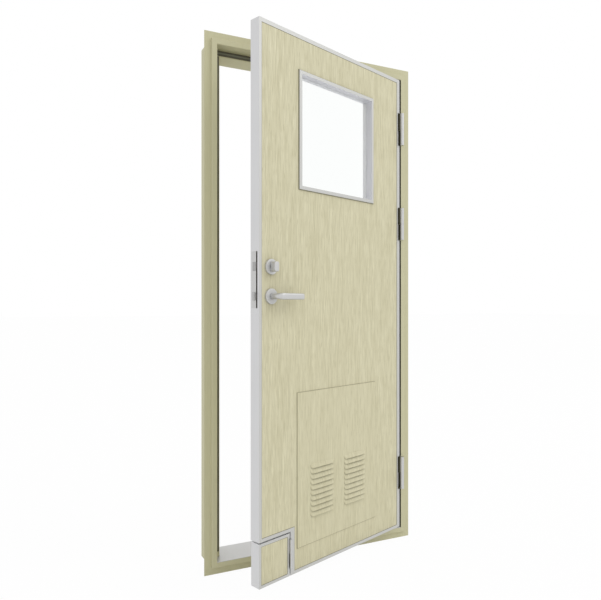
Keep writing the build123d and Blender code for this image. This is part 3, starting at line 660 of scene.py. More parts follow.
class FIREDOOR_OT_finishes(bpy.types.Operator):
    """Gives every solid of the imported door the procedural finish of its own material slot."""
    bl_idname = "fire_door.finishes"
    bl_label = "Finishes"

    def execute(self, context):
        self.coat_film(context.scene.fire_door_film)
        self.brush_steel(context.scene.fire_door_metal)
        self.mix_soft_stuff(context.scene.fire_door_metal)
        pane_material()
        self.dress_solids()
        return {"FINISHED"}

    def coat_film(self, film):
        """Grained film with painted shade near what stands on it, on the leaf and its louvred panel, and a fainter
        coat on the frame.
        """
        grain = film_grain_group()
        corner_shade = (corner_shade_group(), film.corner_shade)
        leaf = {"Pale": opaque(film.leaf_pale), "Dark": opaque(film.leaf_dark), "Sheen": FILM_SHEEN}
        for name, contrast in (("leaf_film", film.contrast), ("tray_film", film.tray_contrast)):
            finish_material(name, grain, {**leaf, "Contrast": contrast}, film.bump, turn=OPEN_ANGLE,
                            specular=MATT_SPECULAR, deep=FILM_DEEP, corner_shade=corner_shade)
        coat = {"Pale": opaque(film.frame_pale), "Dark": opaque(film.frame_dark),
                "Contrast": COAT_CONTRAST, "Sheen": COAT_SHEEN}
        finish_material("frame_film", grain, coat, film.bump / 2, specular=MATT_SPECULAR)

    def brush_steel(self, metal):
        """Satin edging, brushed fittings and bolts, and turned roses.

        The edging, the window frames and the bolts get painted shade or painted light on what looks to the leaf's
        front or back."""
        brushed = brushed_group()

        def steel(colour, brush, sheen, flat=None):
            """Values for brushed steel; flat is the painted shade or painted light of what looks to the front or
            back.
            """
            shade = [STEEL_SHADE * c for c in colour]
            values = {"Grain": brush, "Metal": opaque(colour), "Shade": opaque(shade), "Sheen": sheen}
            if flat is not None:
                values["Face Tint"] = opaque([tone / c for tone, c in zip(flat, colour)])
            return values

        # Edging and window frames: their lips get painted shade, and the window frames' reveals painted light
        for name, colour in (("edge_steel", metal.edge), ("window_steel", metal.reveal)):
            values = steel(colour, UPRIGHT_BRUSH, EDGE_SHEEN, metal.lip)
            finish_material(name, brushed, values, BRUSH_BUMP, OPEN_ANGLE, SATIN_METAL, painted_by_facing=True)
        values = steel(metal.fittings, LEVEL_BRUSH, FITTING_SHEEN)
        finish_material("fittings_steel", brushed, values, BRUSH_BUMP, OPEN_ANGLE, FITTING_METAL)
        # Bolts: paler sides as painted light, for the latch's side in shade
        values = steel(metal.bolt, LEVEL_BRUSH, BOLT_SHEEN, metal.bolt_side_painted_light)
        finish_material("bolt_steel", brushed, values, BRUSH_BUMP, OPEN_ANGLE, BOLT_METAL, painted_by_facing=True)
        values = steel(metal.fittings, RING_BRUSH, TURNED_SHEEN)
        finish_material("turned_steel", brushed, values, RING_BUMP, 0.0, SATIN_METAL, "ring")

    def mix_soft_stuff(self, metal):
        """Rubber seals and beads, the dark strip and pads that are painted shade round the hinges, and mineral
        wool.
        """
        cloudy = cloudy_group()

        def soft(colour, specks, sheen):
            """Values for soft stuff whose specks lie on both sides of its colour."""
            pale = [SPECK_PALE * c for c in colour]
            dark = [SPECK_DARK * c for c in colour]
            return {"Grain": specks, "Pale": opaque(pale), "Dark": opaque(dark), "Sheen": sheen}

        for name, colour, sheen in (
                ("seal_rubber", metal.rubber, RUBBER_SHEEN), ("seal_bulb", metal.bulb, GASKET_SHEEN),
                ("glazing_gasket", metal.gasket, GASKET_SHEEN), ("film_joint", metal.joint, RUBBER_SHEEN),
                ("tray_seam", metal.seam, RUBBER_SHEEN)):
            finish_material(name, cloudy, soft(colour, RUBBER_SPECKS, sheen), RUBBER_BUMP)
        # Dark strip and pads: painted shade in the hinge gap and round the hinges
        for name, colour in (("gap_strip", metal.strip), ("hinge_pad", metal.pad)):
            values = soft(colour, RUBBER_SPECKS, SHADE_STRIP_SHEEN)
            finish_material(name, cloudy, values, SHADE_STRIP_BUMP, specular=DULL_SPECULAR)
        values = soft(metal.filling, WOOL_FIBRES, WOOL_SHEEN)
        finish_material("mineral_wool", cloudy, values, WOOL_BUMP, OPEN_ANGLE)

    def dress_solids(self):
        """Each solid gets its slot's finish; the window's trim and the bolts get one of their own, with painted
        shade and light by facing.
        """
        for part in frame["record"]["subparts"]:
            for place in frame["nodes"][part["node"]].material_slots:
                place.material = finish(part["material_slot"])
        for node, name in (("window_frame_front", "window_steel"), ("window_frame_back", "window_steel"),
                           ("latch_bolt", "bolt_steel"), ("deadbolt", "bolt_steel")):
            frame["nodes"][node].material_slots[0].material = finish(name)


# The lever's grip: how far and from where in the bend it gets squarer and taller, and how its end closes
GRIP_SQUARENESS = 1.6
GRIP_START = math.radians(25)
GRIP_TALL = 0.14
GRIP_ROUNDING = 5 * MM
GRIP_STEPS = 24
END_POWER = 4
# How far before the bend the neck's last section lies
NECK_STEP = 4 * MM


def lever_surface(facing, low, high, bend, tip):
    """A section carried along a neck, a quarter bend and a grip, which eases to its tip and closes there.

    The section is |n/r|^p + |z/r|^p = 1: round in the neck (p = 2), squarer and taller through the bend.
    Along the grip r is the neck's radius plus t times the tip's difference, and over the last stretch it is
    multiplied by the fourth root of 1 - s^4, s running from 0 to 1 at the end."""
    radius = (high[2] - low[2]) / 2
    middle_z = (high[2] + low[2]) / 2
    neck_x, end_x = low[0] + radius, high[0]
    face_y = high[1] if facing < 0 else low[1]
    grip_y = low[1] + radius if facing < 0 else high[1] - radius
    bend_y = grip_y - facing * bend
    neck_y = [face_y, face_y, bend_y - facing * NECK_STEP]
    turn = np.linspace(0, np.pi / 2, BEND_STEPS)
    ease = np.sin(np.linspace(0, np.pi / 2, 2 * EDGE_STEPS))[1:]
    straight = np.linspace(neck_x + bend, end_x - GRIP_ROUNDING, GRIP_STEPS)[1:]
    grip_x = np.concatenate((straight, end_x - GRIP_ROUNDING + GRIP_ROUNDING * ease))
    x = np.concatenate((np.full(len(neck_y), neck_x), neck_x + bend * (1 - np.cos(turn)), grip_x))
    y = np.concatenate((neck_y, bend_y + facing * bend * np.sin(turn), np.full(len(grip_x), grip_y)))
    along = np.clip((x - neck_x - bend) / (end_x - neck_x - bend), 0, 1)
    r = radius + (tip - radius) * along
    r[0] = 0
    r[-len(ease):] *= np.maximum(1 - ease ** END_POWER, 0) ** (1 / END_POWER)
    heading = np.concatenate((np.zeros(len(neck_y)), turn, np.full(len(grip_x), np.pi / 2)))
    gripped = np.clip((heading - GRIP_START) / (np.pi / 2 - GRIP_START), 0, 1)[:, None]
    power = 2 / (2 + GRIP_SQUARENESS * gripped)
    normal = np.stack((np.cos(heading), -facing * np.sin(heading), np.zeros_like(heading)), -1)
    angle = np.linspace(0, 2 * np.pi, ROUND_STEPS, endpoint=False)
    centre = np.stack((x, y, np.full_like(x, middle_z)), -1)
    side = np.sign(np.cos(angle)) * np.abs(np.cos(angle)) ** power
    up = np.sign(np.sin(angle)) * np.abs(np.sin(angle)) ** power * (1 + GRIP_TALL * gripped)
    round_it = side[..., None] * normal[:, None] + up[..., None] * np.array((0, 0, 1.0))
    grid = centre[:, None] + r[:, None, None] * round_it
    return turned(grid, OPEN_ANGLE), quads(len(x), ROUND_STEPS, wrap_columns=True)


class FIREDOOR_OT_levers(bpy.types.Operator):
    """Smooth levers with a round neck, an easy bend and a tapered grip, in place of the mitred solids."""
    bl_idname = "fire_door.levers"
    bl_label = "Levers"

    def execute(self, context):
        shapes = context.scene.fire_door_shapes
        for facing, node in ((-1, "lever_front"), (1, "lever_back")):
            low, high = shut_box(node)
            surface = lever_surface(facing, low, high, shapes.lever_bend, shapes.lever_tip)
            make_piece(f"{node}_smooth", [surface], "lever", finish("fittings_steel"),
                       [node])
        return {"FINISHED"}


# The roses' eased hole and flat face, and the room between a fitting and its rose
HOLE_EASE = 0.6 * MM
FACE_STEPS = 6
FITTING_ROOM = 0.4 * MM


def rose_surface(centre, facing, outer, hole, depth, rim):
    """A closed ring profile carried round the spindle's line: a flat face, a round rim and an eased hole."""
    turn = np.linspace(0, np.pi / 2, EDGE_STEPS)[1:]
    flat = np.linspace(hole + 2 * HOLE_EASE, outer - rim, FACE_STEPS)
    radii = np.concatenate(([hole, hole + HOLE_EASE], flat, outer - rim + rim * np.sin(turn), [outer, hole]))
    depths = np.concatenate(([depth - HOLE_EASE, depth], np.full(FACE_STEPS, depth),
                             depth - rim + rim * np.cos(turn), [0, 0]))
    surface = revolved(radii, depths, turned(centre, OPEN_ANGLE), facing * LEAF_BACKWARD, True)
    return surface, np.repeat(radii, ROUND_STEPS)


class FIREDOOR_OT_roses(bpy.types.Operator):
    """Turned roses with a rounded rim, two on each face of the leaf."""
    bl_idname = "fire_door.roses"
    bl_label = "Roses"

    def execute(self, context):
        rim = context.scene.fire_door_shapes.rose_rim
        lever_low, lever_high = shut_box("lever_front")
        neck = (lever_high[2] - lever_low[2]) / 2 + FITTING_ROOM
        plug_low, plug_high = shut_box("key_cylinder")
        for facing, node in ((-1, "front_roses"), (1, "back_roses")):
            low, high = shut_box(node)
            outer = (high[0] - low[0]) / 2
            base_y = high[1] if facing < 0 else low[1]
            upper_hole = neck if facing < 0 else (plug_high[2] - plug_low[2]) / 2
            surfaces, rings = [], []
            for z, hole in ((low[2] + outer, neck), (high[2] - outer, upper_hole)):
                centre = np.array((low[0] + outer, base_y, z))
                surface, ring = rose_surface(centre, facing, outer, hole, high[1] - low[1], rim)
                surfaces.append(surface)
                rings.append(ring)
            make_piece(f"{node}_turned", surfaces, "leaf", finish("turned_steel"), [node],
                       ring=np.concatenate(rings))
        return {"FINISHED"}


def rounded_block(x, z, depths, widths, heights, powers):
    """A superellipse |x/w|^p + |z/h|^p = 1 carried from back to front, with w, h and p for each depth."""
    angle = np.linspace(0, 2 * np.pi, 2 * ROUND_STEPS, endpoint=False)
    c, s = np.cos(angle), np.sin(angle)
    power = 2 / np.asarray(powers, float)[:, None]
    across = np.sign(c) * np.abs(c) ** power * np.asarray(widths)[:, None]
    up = np.sign(s) * np.abs(s) ** power * np.asarray(heights)[:, None]
    deep = np.broadcast_to(np.asarray(depths, float)[:, None], across.shape)
    return np.stack((x + across, deep, z + up), -1), quads(len(depths), len(angle), wrap_columns=True)


# The thumb turn's neck, the bevel behind its grip and how square the grip's corners are
TURN_NECK = 9 * MM
TURN_LEAD = 1 * MM
TURN_CORNER = 4.5


class FIREDOOR_OT_thumb_turn(bpy.types.Operator):
    """The thumb turn: a round neck and a chunky grip with rounded corners and a softened front edge."""
    bl_idname = "fire_door.thumb_turn"
    bl_label = "Thumb turn"

    def execute(self, context):
        rounding = context.scene.fire_door_shapes.turn_rounding
        low, high = shut_box("thumb_turn")
        rose_low = shut_box("front_roses")[0]
        half_w, half_h = (high[0] - low[0]) / 2, (high[2] - low[2]) / 2
        back = rose_low[1] - FITTING_ROOM
        turn = np.linspace(0, np.pi / 2, EDGE_STEPS)
        shrink = rounding * (1 - np.cos(turn))
        depths = np.concatenate(([high[1], high[1], back, back, back - TURN_LEAD],
                                 low[1] + rounding * (1 - np.sin(turn)), [low[1]]))
        neck = [0, TURN_NECK, TURN_NECK]
        widths = np.concatenate((neck, [half_w - TURN_LEAD, half_w], half_w - shrink, [0]))
        heights = np.concatenate((neck, [half_h - TURN_LEAD, half_h], half_h - shrink, [0]))
        powers = np.concatenate(([2, 2, 2], np.full(len(depths) - len(neck), TURN_CORNER)))
        x, z = (low[0] + high[0]) / 2, (low[2] + high[2]) / 2
        grid, faces = rounded_block(x, z, depths, widths, heights, powers)
        make_piece("thumb_turn_grip", [(turned(grid, OPEN_ANGLE), faces)], "thumb_turn",
                   finish("fittings_steel"), ["thumb_turn"])
        return {"FINISHED"}


def pierced_sheet(x_lines, z_lines, y, holes):
    """A flat grid through the given lines, without the cells whose middles lie in a hole (x0, x1, z0, z1)."""
    x, z = np.meshgrid(x_lines, z_lines)
    grid = np.stack((x, np.full_like(x, y), z), -1)
    faces = quads(len(z_lines), len(x_lines))
    middle = grid.reshape(-1, 3)[faces].mean(1)
    kept = np.ones(len(faces), bool)
    for x0, x1, z0, z1 in holes:
        inside = (middle[:, 0] > x0) & (middle[:, 0] < x1) & (middle[:, 2] > z0) & (middle[:, 2] < z1)
        kept &= ~inside
    return grid, faces[kept]


# A hood's form: the powers of its ridge and its ends, how high its nose lies and how far its foot tucks in
RIDGE_EASE = 0.9
END_EASE = 4
NOSE_SHARE = 0.10
NOSE_TUCK = 0.40


def hood_surface(x, z, y, facing, half, height, depth, corner):
    """A pressed hood over u from -1 to 1 along it and t from 0 at its open foot to 1 at its ridge.

    It stands out by depth (1 - u^4)^0.5 times its section. Above the nose the section is
    cos(90 degrees s)^0.9, s running from 0 at the nose to 1 at the ridge, and below the nose it draws back by
    the square of the way to the foot. The foot rises along a quarter circle at both ends."""
    u = np.sin(np.linspace(-np.pi / 2, np.pi / 2, 4 * EDGE_STEPS + 1))
    t = np.linspace(0, 1, 2 * EDGE_STEPS)[:, None]
    past = np.clip((np.abs(u) * half - half + corner) / corner, 0, 1)
    rise = corner * (1 - np.sqrt(1 - past ** 2))
    slope = np.clip((t - NOSE_SHARE) / (1 - NOSE_SHARE), 0, 1)
    below = np.clip(1 - t / NOSE_SHARE, 0, 1)
    section = np.maximum(np.cos(np.pi / 2 * slope), 0) ** RIDGE_EASE - NOSE_TUCK * below ** 2
    out = depth * np.sqrt(1 - u ** END_EASE) * section
    grid = np.stack(np.broadcast_arrays(x + half * u, y + facing * out, z + rise + (height - rise) * t), -1)
    return grid, quads(len(t), len(u))


def tray_rim(low, high, face_y, foot_y, rounding):
    """The folded edge of a tray: a quarter round and a straight wall, carried round a mitred rectangle."""
    x = np.array((low[0], high[0], high[0], low[0]))
    z = np.array((low[2], low[2], high[2], high[2]))
    x_in = np.array((1, -1, -1, 1))
    z_in = np.array((1, 1, -1, -1))
    turn = np.linspace(0, np.pi / 2, EDGE_STEPS)
    inward = np.concatenate((rounding * (1 - np.sin(turn)), [0]))[:, None]
    depth = np.concatenate((face_y + rounding * (1 - np.cos(turn)), [foot_y]))[:, None]
    grid = np.stack(np.broadcast_arrays(x + x_in * inward, depth, z + z_in * inward), -1)
    return grid, quads(len(inward), len(x), wrap_columns=True)


class FIREDOOR_OT_louvred_sheets(bpy.types.Operator):
    """The kick-out panel's two sheets, each with two banks of smooth hoods pressed out over open slots."""
    bl_idname = "fire_door.louvred_sheets"
    bl_label = "Louvred sheets"

    def execute(self, context):
        shapes = context.scene.fire_door_shapes
        front_low, front_high = shut_box("kick_panel_front_sheet")
        middle = (front_low[0] + front_high[0]) / 2
        foot = front_low[2] + shapes.bank_bottom
        half = shapes.louvre_length / 2
        slot_half = half - shapes.louvre_corner
        feet = foot + shapes.louvre_pitch * np.arange(shapes.louvres)
        slot_height = shapes.louvre_height - shapes.sheet
        banks = [middle - shapes.bank_spacing / 2, middle + shapes.bank_spacing / 2]
        slots = [(x - slot_half, x + slot_half, z, z + slot_height) for x in banks for z in feet]
        for facing, node in ((-1, "kick_panel_front_sheet"), (1, "kick_panel_back_sheet")):
            low, high = shut_box(node)
            y = low[1] + shapes.louvre_depth if facing < 0 else high[1] - shapes.louvre_depth
            fold = shapes.tray_fold if facing < 0 else 0
            ends = np.ravel([(x - slot_half, x + slot_half) for x in banks])
            x_lines = np.sort(np.concatenate(([low[0] + fold, high[0] - fold], ends)))
            z_lines = np.sort(np.concatenate(([low[2] + fold, high[2] - fold], feet, feet + slot_height)))
            surfaces = [pierced_sheet(x_lines, z_lines, y, slots)]
            if fold:
                surfaces.append(tray_rim(low, high, y, high[1], fold))
            hood = (half, shapes.louvre_height, shapes.louvre_depth, shapes.louvre_corner)
            surfaces += [hood_surface(x, z, y, facing, *hood) for x in banks for z in feet]
            surfaces = [(turned(grid, OPEN_ANGLE), faces) for grid, faces in surfaces]
            piece = make_piece(f"{node}_pressed", surfaces, "leaf", finish("tray_film"),
                               [node], facing * LEAF_BACKWARD)
            wall = piece.modifiers.new("Sheet", "SOLIDIFY")
            wall.thickness = shapes.sheet
            wall.offset = -1
        return {"FINISHED"}


# The bulb on the seals: half its width, and how far it stands out of the seal and reaches into it
BULB_HALF = 3 * MM
BULB_PROUD = 0.5 * MM
BULB_SUNK = 1.4 * MM


class FIREDOOR_OT_seal_bulb(bpy.types.Operator):
    """The soft bulb along the middle of the seals: up the lock jamb, over the head, down the hinge jamb."""
    bl_idname = "fire_door.seal_bulb"
    bl_label = "Seal bulb"

    def execute(self, context):
        lock_low, lock_high = standing_box("seal_lock_side")
        hinge_low, hinge_high = standing_box("seal_hinge_side")
        head_low, head_high = standing_box("seal_head")
        left, right = (lock_low[0] + lock_high[0]) / 2, (hinge_low[0] + hinge_high[0]) / 2
        top, foot = (head_low[2] + head_high[2]) / 2, lock_low[2]
        route = np.array(((left, foot), (left, top), (right, top), (right, foot)))
        inward = np.array(((1, 0), (1, -1), (-1, -1), (-1, 0)))
        angle = np.linspace(0, np.pi, 2 * EDGE_STEPS)
        offset = BULB_HALF * np.cos(angle)
        rise = lock_low[1] + BULB_SUNK - (BULB_SUNK + BULB_PROUD) * np.sin(angle)
        plan = route[:, None] + inward[:, None] * offset[None, :, None]
        grid = np.stack((plan[..., 0], np.broadcast_to(rise, plan.shape[:2]), plan[..., 1]), -1)
        make_piece("seal_bulb", [(grid, quads(len(route), len(angle)))], "frame",
                   finish("seal_bulb"), outward=(0, -1, 0))
        return {"FINISHED"}


def bead_surface(loop, y, facing, width, height):
    """A quarter-ellipse bead on the film, carried round a closed loop of (x, z) corners.

    It lies inside a loop that runs anticlockwise and outside one that runs clockwise. At each corner its
    offset runs along the mitre m = (a + b) / (1 + a . b), with a and b the directions to the left of the two
    edges that meet there."""
    loop = np.asarray(loop, float)
    edge = np.roll(loop, -1, 0) - loop
    edge /= np.linalg.norm(edge, axis=1, keepdims=True)
    inward = np.stack((-edge[:, 1], edge[:, 0]), -1)
    before = np.roll(inward, 1, 0)
    mitre = (inward + before) / (1 + (inward * before).sum(1, keepdims=True))
    turn = np.linspace(0, np.pi / 2, EDGE_STEPS)
    across = width * np.sin(turn)
    rise = y + facing * height * np.cos(turn)
    plan = loop[None] + across[:, None, None] * mitre[None]
    grid = np.stack((plan[..., 0], np.broadcast_to(rise[:, None], plan.shape[:2]), plan[..., 1]), -1)
    return grid, quads(len(turn), len(loop), wrap_columns=True)


def loop_round(low, high, margin=0.0):
    """The (x, z) corners of an upright rectangle, anticlockwise, moved in by a margin."""
    x0, x1 = low[0] + margin, high[0] - margin
    z0, z1 = low[2] + margin, high[2] - margin
    return [(x0, z0), (x1, z0), (x1, z1), (x0, z1)]


# Height of a low bead and of the one up the window's front trim, as shares of their widths
LOW_BEAD = 0.5
TRIM_BEAD = 2


class FIREDOOR_OT_joint_beads(bpy.types.Operator):
    """Thin beads on both faces of the leaf, where its film meets steel, and round the louvred tray.

    Dark ones lie along the steel lips of the leaf and of its hose flap and at the foot of the window's trim; they
    are partly sealant and partly painted shade for the shadow lines at those edges.
    The one round the tray is paler, and is painted shade along the tray's edge."""
    bl_idname = "fire_door.joint_beads"
    bl_label = "Joint beads"

    def execute(self, context):
        shapes = context.scene.fire_door_shapes
        left = shut_box("edging_lock_side")[1][0]
        right = shut_box("edging_hinge_side")[0][0]
        top = shut_box("edging_top")[0][2]
        foot = shut_box("edging_bottom")[1][2]
        port = shut_box("edging_port")[1]
        leaf_loop = [(left, port[2]), (port[0], port[2]), (port[0], foot),
                     (right, foot), (right, top), (left, top)]
        flap_loop = loop_round(*shut_box("flap_edging"), shapes.flap_lip)
        window_loop = loop_round(*shut_box("window_frame_front"))[::-1]
        tray_loop = loop_round(*shut_box("kick_panel_front_sheet"))[::-1]
        front, back = shut_box("leaf_front_sheet")[0][1], shut_box("leaf_back_sheet")[1][1]
        low = LOW_BEAD * shapes.joint
        dark, pale, foot_bead = finish("film_joint"), finish("tray_seam"), shapes.foot_bead
        rows = [("leaf_joint_front", "leaf", leaf_loop, -1, front, shapes.joint, low, dark),
                ("leaf_joint_back", "leaf", leaf_loop, 1, back, shapes.joint, low, dark),
                ("hose_flap_joint_front", "hose_flap", flap_loop, -1, front, shapes.joint, low, dark),
                ("hose_flap_joint_back", "hose_flap", flap_loop, 1, back, shapes.joint, low, dark),
                ("window_bead_front", "leaf", window_loop, -1, front, foot_bead, TRIM_BEAD * foot_bead, dark),
                ("window_bead_back", "leaf", window_loop, 1, back, foot_bead, low, dark),
                ("kick_panel_bead_front", "leaf", tray_loop, -1, front, foot_bead, foot_bead, pale)]
        for name, body, loop, facing, y, width, height, material in rows:
            grid, faces = bead_surface(loop, y, facing, width, height)
            make_piece(name, [(turned(grid, OPEN_ANGLE), faces)], body, material,
                       outward=facing * LEAF_BACKWARD)
        return {"FINISHED"}


def band_surface(low, high, thickness, rounding):
    """A band round the pane's rim: a rounded inner face and a flat outer one.

    It is carried round the rectangle (low, high) of its inner face with mitred corners."""
    loop = np.array(loop_round(low, high))
    outward = np.array(((-1, -1), (1, -1), (1, 1), (-1, 1)))
    turn = np.linspace(0, np.pi / 2, EDGE_STEPS)
    bulge = rounding * (1 - np.sin(turn))
    offset = np.concatenate(([thickness], bulge, bulge[::-1], [thickness]))
    front = low[1] + rounding * (1 - np.cos(turn))
    back = high[1] - rounding * (1 - np.cos(turn[::-1]))
    depth = np.concatenate(([low[1]], front, back, [high[1]]))
    plan = loop[None] + offset[:, None, None] * outward[None]
    grid = np.stack((plan[..., 0], np.broadcast_to(depth[:, None], plan.shape[:2]), plan[..., 1]), -1)
    return grid, quads(len(depth), len(loop), wrap_rows=True, wrap_columns=True)


class FIREDOOR_OT_glazing_band(bpy.types.Operator):
    """The pale band that holds the pane's rim between the window's two trim frames."""
    bl_idname = "fire_door.glazing_band"
    bl_label = "Glazing band"

    def execute(self, context):
        shapes = context.scene.fire_door_shapes
        low, high = shut_box("window_gaskets")
        reach = np.array((shapes.band, 0, shapes.band))
        grid, faces = band_surface(low + reach, high - reach, shapes.band, shapes.band_rounding)
        make_piece("window_glazing_band", [(turned(grid, OPEN_ANGLE), faces)], "leaf",
                   finish("glazing_gasket"), ["window_gaskets"])
        return {"FINISHED"}


def strip_surface(x, y, z0, z1, half_x, half_y):
    """An upright bar of section |x/a|^4 + |y/b|^4 = 1 from z0 to z1, closed to its middle at both ends."""
    angle = np.linspace(0, 2 * np.pi, ROUND_STEPS, endpoint=False)
    side = x + half_x * np.sign(np.cos(angle)) * np.sqrt(np.abs(np.cos(angle)))
    deep = y + half_y * np.sign(np.sin(angle)) * np.sqrt(np.abs(np.sin(angle)))
    share = np.array((0.0, 1.0, 1.0, 0.0))[:, None]
    up = np.array((z0, z0, z1, z1))[:, None]
    grid = np.stack(np.broadcast_arrays(x + share * (side - x), y + share * (deep - y), up), -1)
    return grid, quads(len(up), ROUND_STEPS, wrap_columns=True)


# The main hinges, from the foot up
HINGES = ("bottom", "middle", "top")
# The strip in the hinge gap: half its section, its room at a hinge and how far it stands out of the jamb
STRIP_HALF_X = 1.9 * MM
STRIP_HALF_Y = 7 * MM
STRIP_CLEAR = 3 * MM
STRIP_PROUD = 2 * MM


class FIREDOOR_OT_gap_strip(bpy.types.Operator):
    """A near-black strip on the hinge jamb, in lengths between the hinges: a graphite fire strip whose dark colour
    is painted shade for the deep hinge gap.
    """
    bl_idname = "fire_door.gap_strip"
    bl_label = "Gap strip"

    def execute(self, context):
        frame_halves = [standing_box(f"hinge_{name}_frame_half") for name in HINGES]
        leaf_halves = [standing_box(f"hinge_{name}_leaf_half") for name in HINGES]
        head = standing_box("seal_head")[1][2]
        opening, _, sill = standing_box("sill_plate")[1]
        starts = [sill] + [high[2] + STRIP_CLEAR for low, high in leaf_halves]
        ends = [low[2] - STRIP_CLEAR for low, high in frame_halves] + [head]
        x = opening - STRIP_HALF_X
        y = standing_box("frame_hinge_jamb")[0][1] + STRIP_HALF_Y - STRIP_PROUD
        surfaces = [strip_surface(x, y, z0, z1, STRIP_HALF_X, STRIP_HALF_Y) for z0, z1 in zip(starts, ends)]
        make_piece("hinge_gap_strip", surfaces, "frame", finish("gap_strip"))
        return {"FINISHED"}


def pad_surface(plan, z0, z1):
    """A pad of even height: its line in plan, as (x, y) points, carried up from z0 to z1."""
    plan = np.asarray(plan, float)
    up = np.array((z0, z1))[:, None]
    grid = np.stack(np.broadcast_arrays(plan[:, 0], plan[:, 1], up), -1)
    return grid, quads(len(up), len(plan))


# Thickness of a pad, a dark sheet that is painted shade
PAD_SKIN = 0.3 * MM


class FIREDOOR_OT_hinge_pads(bpy.types.Operator):
    """Dark pads as painted shade, in the leaf's notches at the hinges and on the hinges' plates, where the gaps
    round the knuckles lie in deep shade.
    """
    bl_idname = "fire_door.hinge_pads"
    bl_label = "Hinge pads"

    def execute(self, context):
        shapes = context.scene.fire_door_shapes
        edging_low, edging_high = shut_box("edging_hinge_side")
        inner = edging_high[0] - shapes.notch_width + PAD_SKIN
        plate = edging_high[0] - shapes.hinge_plate - PAD_SKIN
        front, back = edging_low[1], edging_low[1] + shapes.notch_depth - PAD_SKIN
        jamb = standing_box("sill_plate")[1][0] - PAD_SKIN
        knuckle = front - shapes.pad_reach
        room = shapes.notch_margin - PAD_SKIN
        notches, leaf_plates, frame_plates = [], [], []
        for name in HINGES:
            foot = standing_box(f"hinge_{name}_frame_half")[0][2]
            (_, _, split), (_, _, head) = standing_box(f"hinge_{name}_leaf_half")
            notch = [(inner, front), (inner, back), (plate, back)]
            notches.append(pad_surface(notch, foot - room, head + room))
            leaf_plates.append(pad_surface([(plate, knuckle), (plate, back)], split, head))
            frame_plates.append(pad_surface([(jamb, knuckle), (jamb, back)], foot, split))
        shade_pads = finish("hinge_pad")
        for name, body, surfaces, angle, outward in (
                ("hinge_notch_pads", "leaf", notches, OPEN_ANGLE, LEAF_TO_HINGE - LEAF_BACKWARD),
                ("hinge_plate_pads_leaf", "leaf", leaf_plates, OPEN_ANGLE, -LEAF_TO_HINGE),
                ("hinge_plate_pads_frame", "frame", frame_plates, 0.0, (-1, 0, 0))):
            surfaces = [(turned(grid, angle), faces) for grid, faces in surfaces]
            piece = make_piece(name, surfaces, body, shade_pads, outward=outward)
            wall = piece.modifiers.new("Pad", "SOLIDIFY")
            wall.thickness = PAD_SKIN
            wall.offset = -1
        return {"FINISHED"}


# A screw head: its depths from rim to socket, its crown and socket as shares of its radius, and its places
SCREW_STEPS = 48
SCREW_RADIUS = 3.6 * MM
SCREW_DEPTHS = np.array((-0.6, 0.15, 0.4, 0.45, 0.4, -0.5, -0.5)) * MM
CROWN_SHARE = 0.86
LAND_SHARE = 0.25
SOCKET_SHARE = 0.42
PLATE_SCREW_FROM_END = 9 * MM
HINGE_SCREW_FROM_END = 16 * MM
HINGE_SCREW_FROM_BACK = 13 * MM


def screw_surface(centre, axis):
    """A low countersunk head with a six-sided socket.

    r runs in from the rim to the socket's edge, where it is a over the cosine of the angle from the nearest
    flat's middle, then down the socket's wall and to the middle of its floor."""
    axis = np.asarray(axis, float)
    up = np.array((0.0, 0.0, 1.0))
    side = np.cross(axis, up)
    angle = np.linspace(0, 2 * np.pi, SCREW_STEPS, endpoint=False)
    flat = (angle + np.pi / 6) % (np.pi / 3) - np.pi / 6
    socket = SOCKET_SHARE * SCREW_RADIUS / np.cos(flat)
    rim = np.full_like(angle, SCREW_RADIUS)
    land = LAND_SHARE * rim + (1 - LAND_SHARE) * socket
    rows = np.stack((rim, rim, CROWN_SHARE * rim, land, socket, socket, 0 * rim))
    spokes = np.cos(angle)[:, None] * side + np.sin(angle)[:, None] * up
    grid = np.asarray(centre) + SCREW_DEPTHS[:, None, None] * axis + rows[..., None] * spokes
    return grid, quads(len(rows), len(angle), wrap_columns=True)


class FIREDOOR_OT_screws(bpy.types.Operator):
    """Screw heads in the forend, in the strike plate and in the six plates of the main hinges."""
    bl_idname = "fire_door.screws"
    bl_label = "Screws"

    def execute(self, context):
        steel = finish("fittings_steel")

        def pair(low, high, x, y, from_end):
            """Two places on an upright plate, as far from its foot as from its head."""
            return [np.array((x, y, z)) for z in (low + from_end, high - from_end)]

        low, high = shut_box("lock_forend")
        places = pair(low[2], high[2], low[0], (low[1] + high[1]) / 2, PLATE_SCREW_FROM_END)
        surfaces = [screw_surface(turned(place, OPEN_ANGLE), -LEAF_TO_HINGE) for place in places]
        make_piece("forend_screws", surfaces, "leaf", steel)
        low, high = standing_box("strike_plate")
        places = pair(low[2], high[2], high[0], (low[1] + high[1]) / 2, PLATE_SCREW_FROM_END)
        surfaces = [screw_surface(place, (1, 0, 0)) for place in places]
        make_piece("strike_screws", surfaces, "frame", steel)
        edge = shut_box("edging_hinge_side")[1][0]
        frame_heads, leaf_heads = [], []
        for name in reversed(HINGES):
            low, high = standing_box(f"hinge_{name}_frame_half")
            split = standing_box(f"hinge_{name}_leaf_half")[0][2]
            x, y = (low[0] + high[0]) / 2, high[1] - HINGE_SCREW_FROM_BACK
            places = pair(low[2], split, x, y, HINGE_SCREW_FROM_END)
            frame_heads += [screw_surface(place, (-1, 0, 0)) for place in places]
            low, high = shut_box(f"hinge_{name}_leaf_half")
            places = pair(low[2], high[2], edge, high[1] - HINGE_SCREW_FROM_BACK, HINGE_SCREW_FROM_END)
            leaf_heads += [screw_surface(turned(place, OPEN_ANGLE), LEAF_TO_HINGE) for place in places]
        make_piece("hinge_screws_frame", frame_heads, "frame", steel)
        make_piece("hinge_screws_leaf", leaf_heads, "leaf", steel)
        return {"FINISHED"}


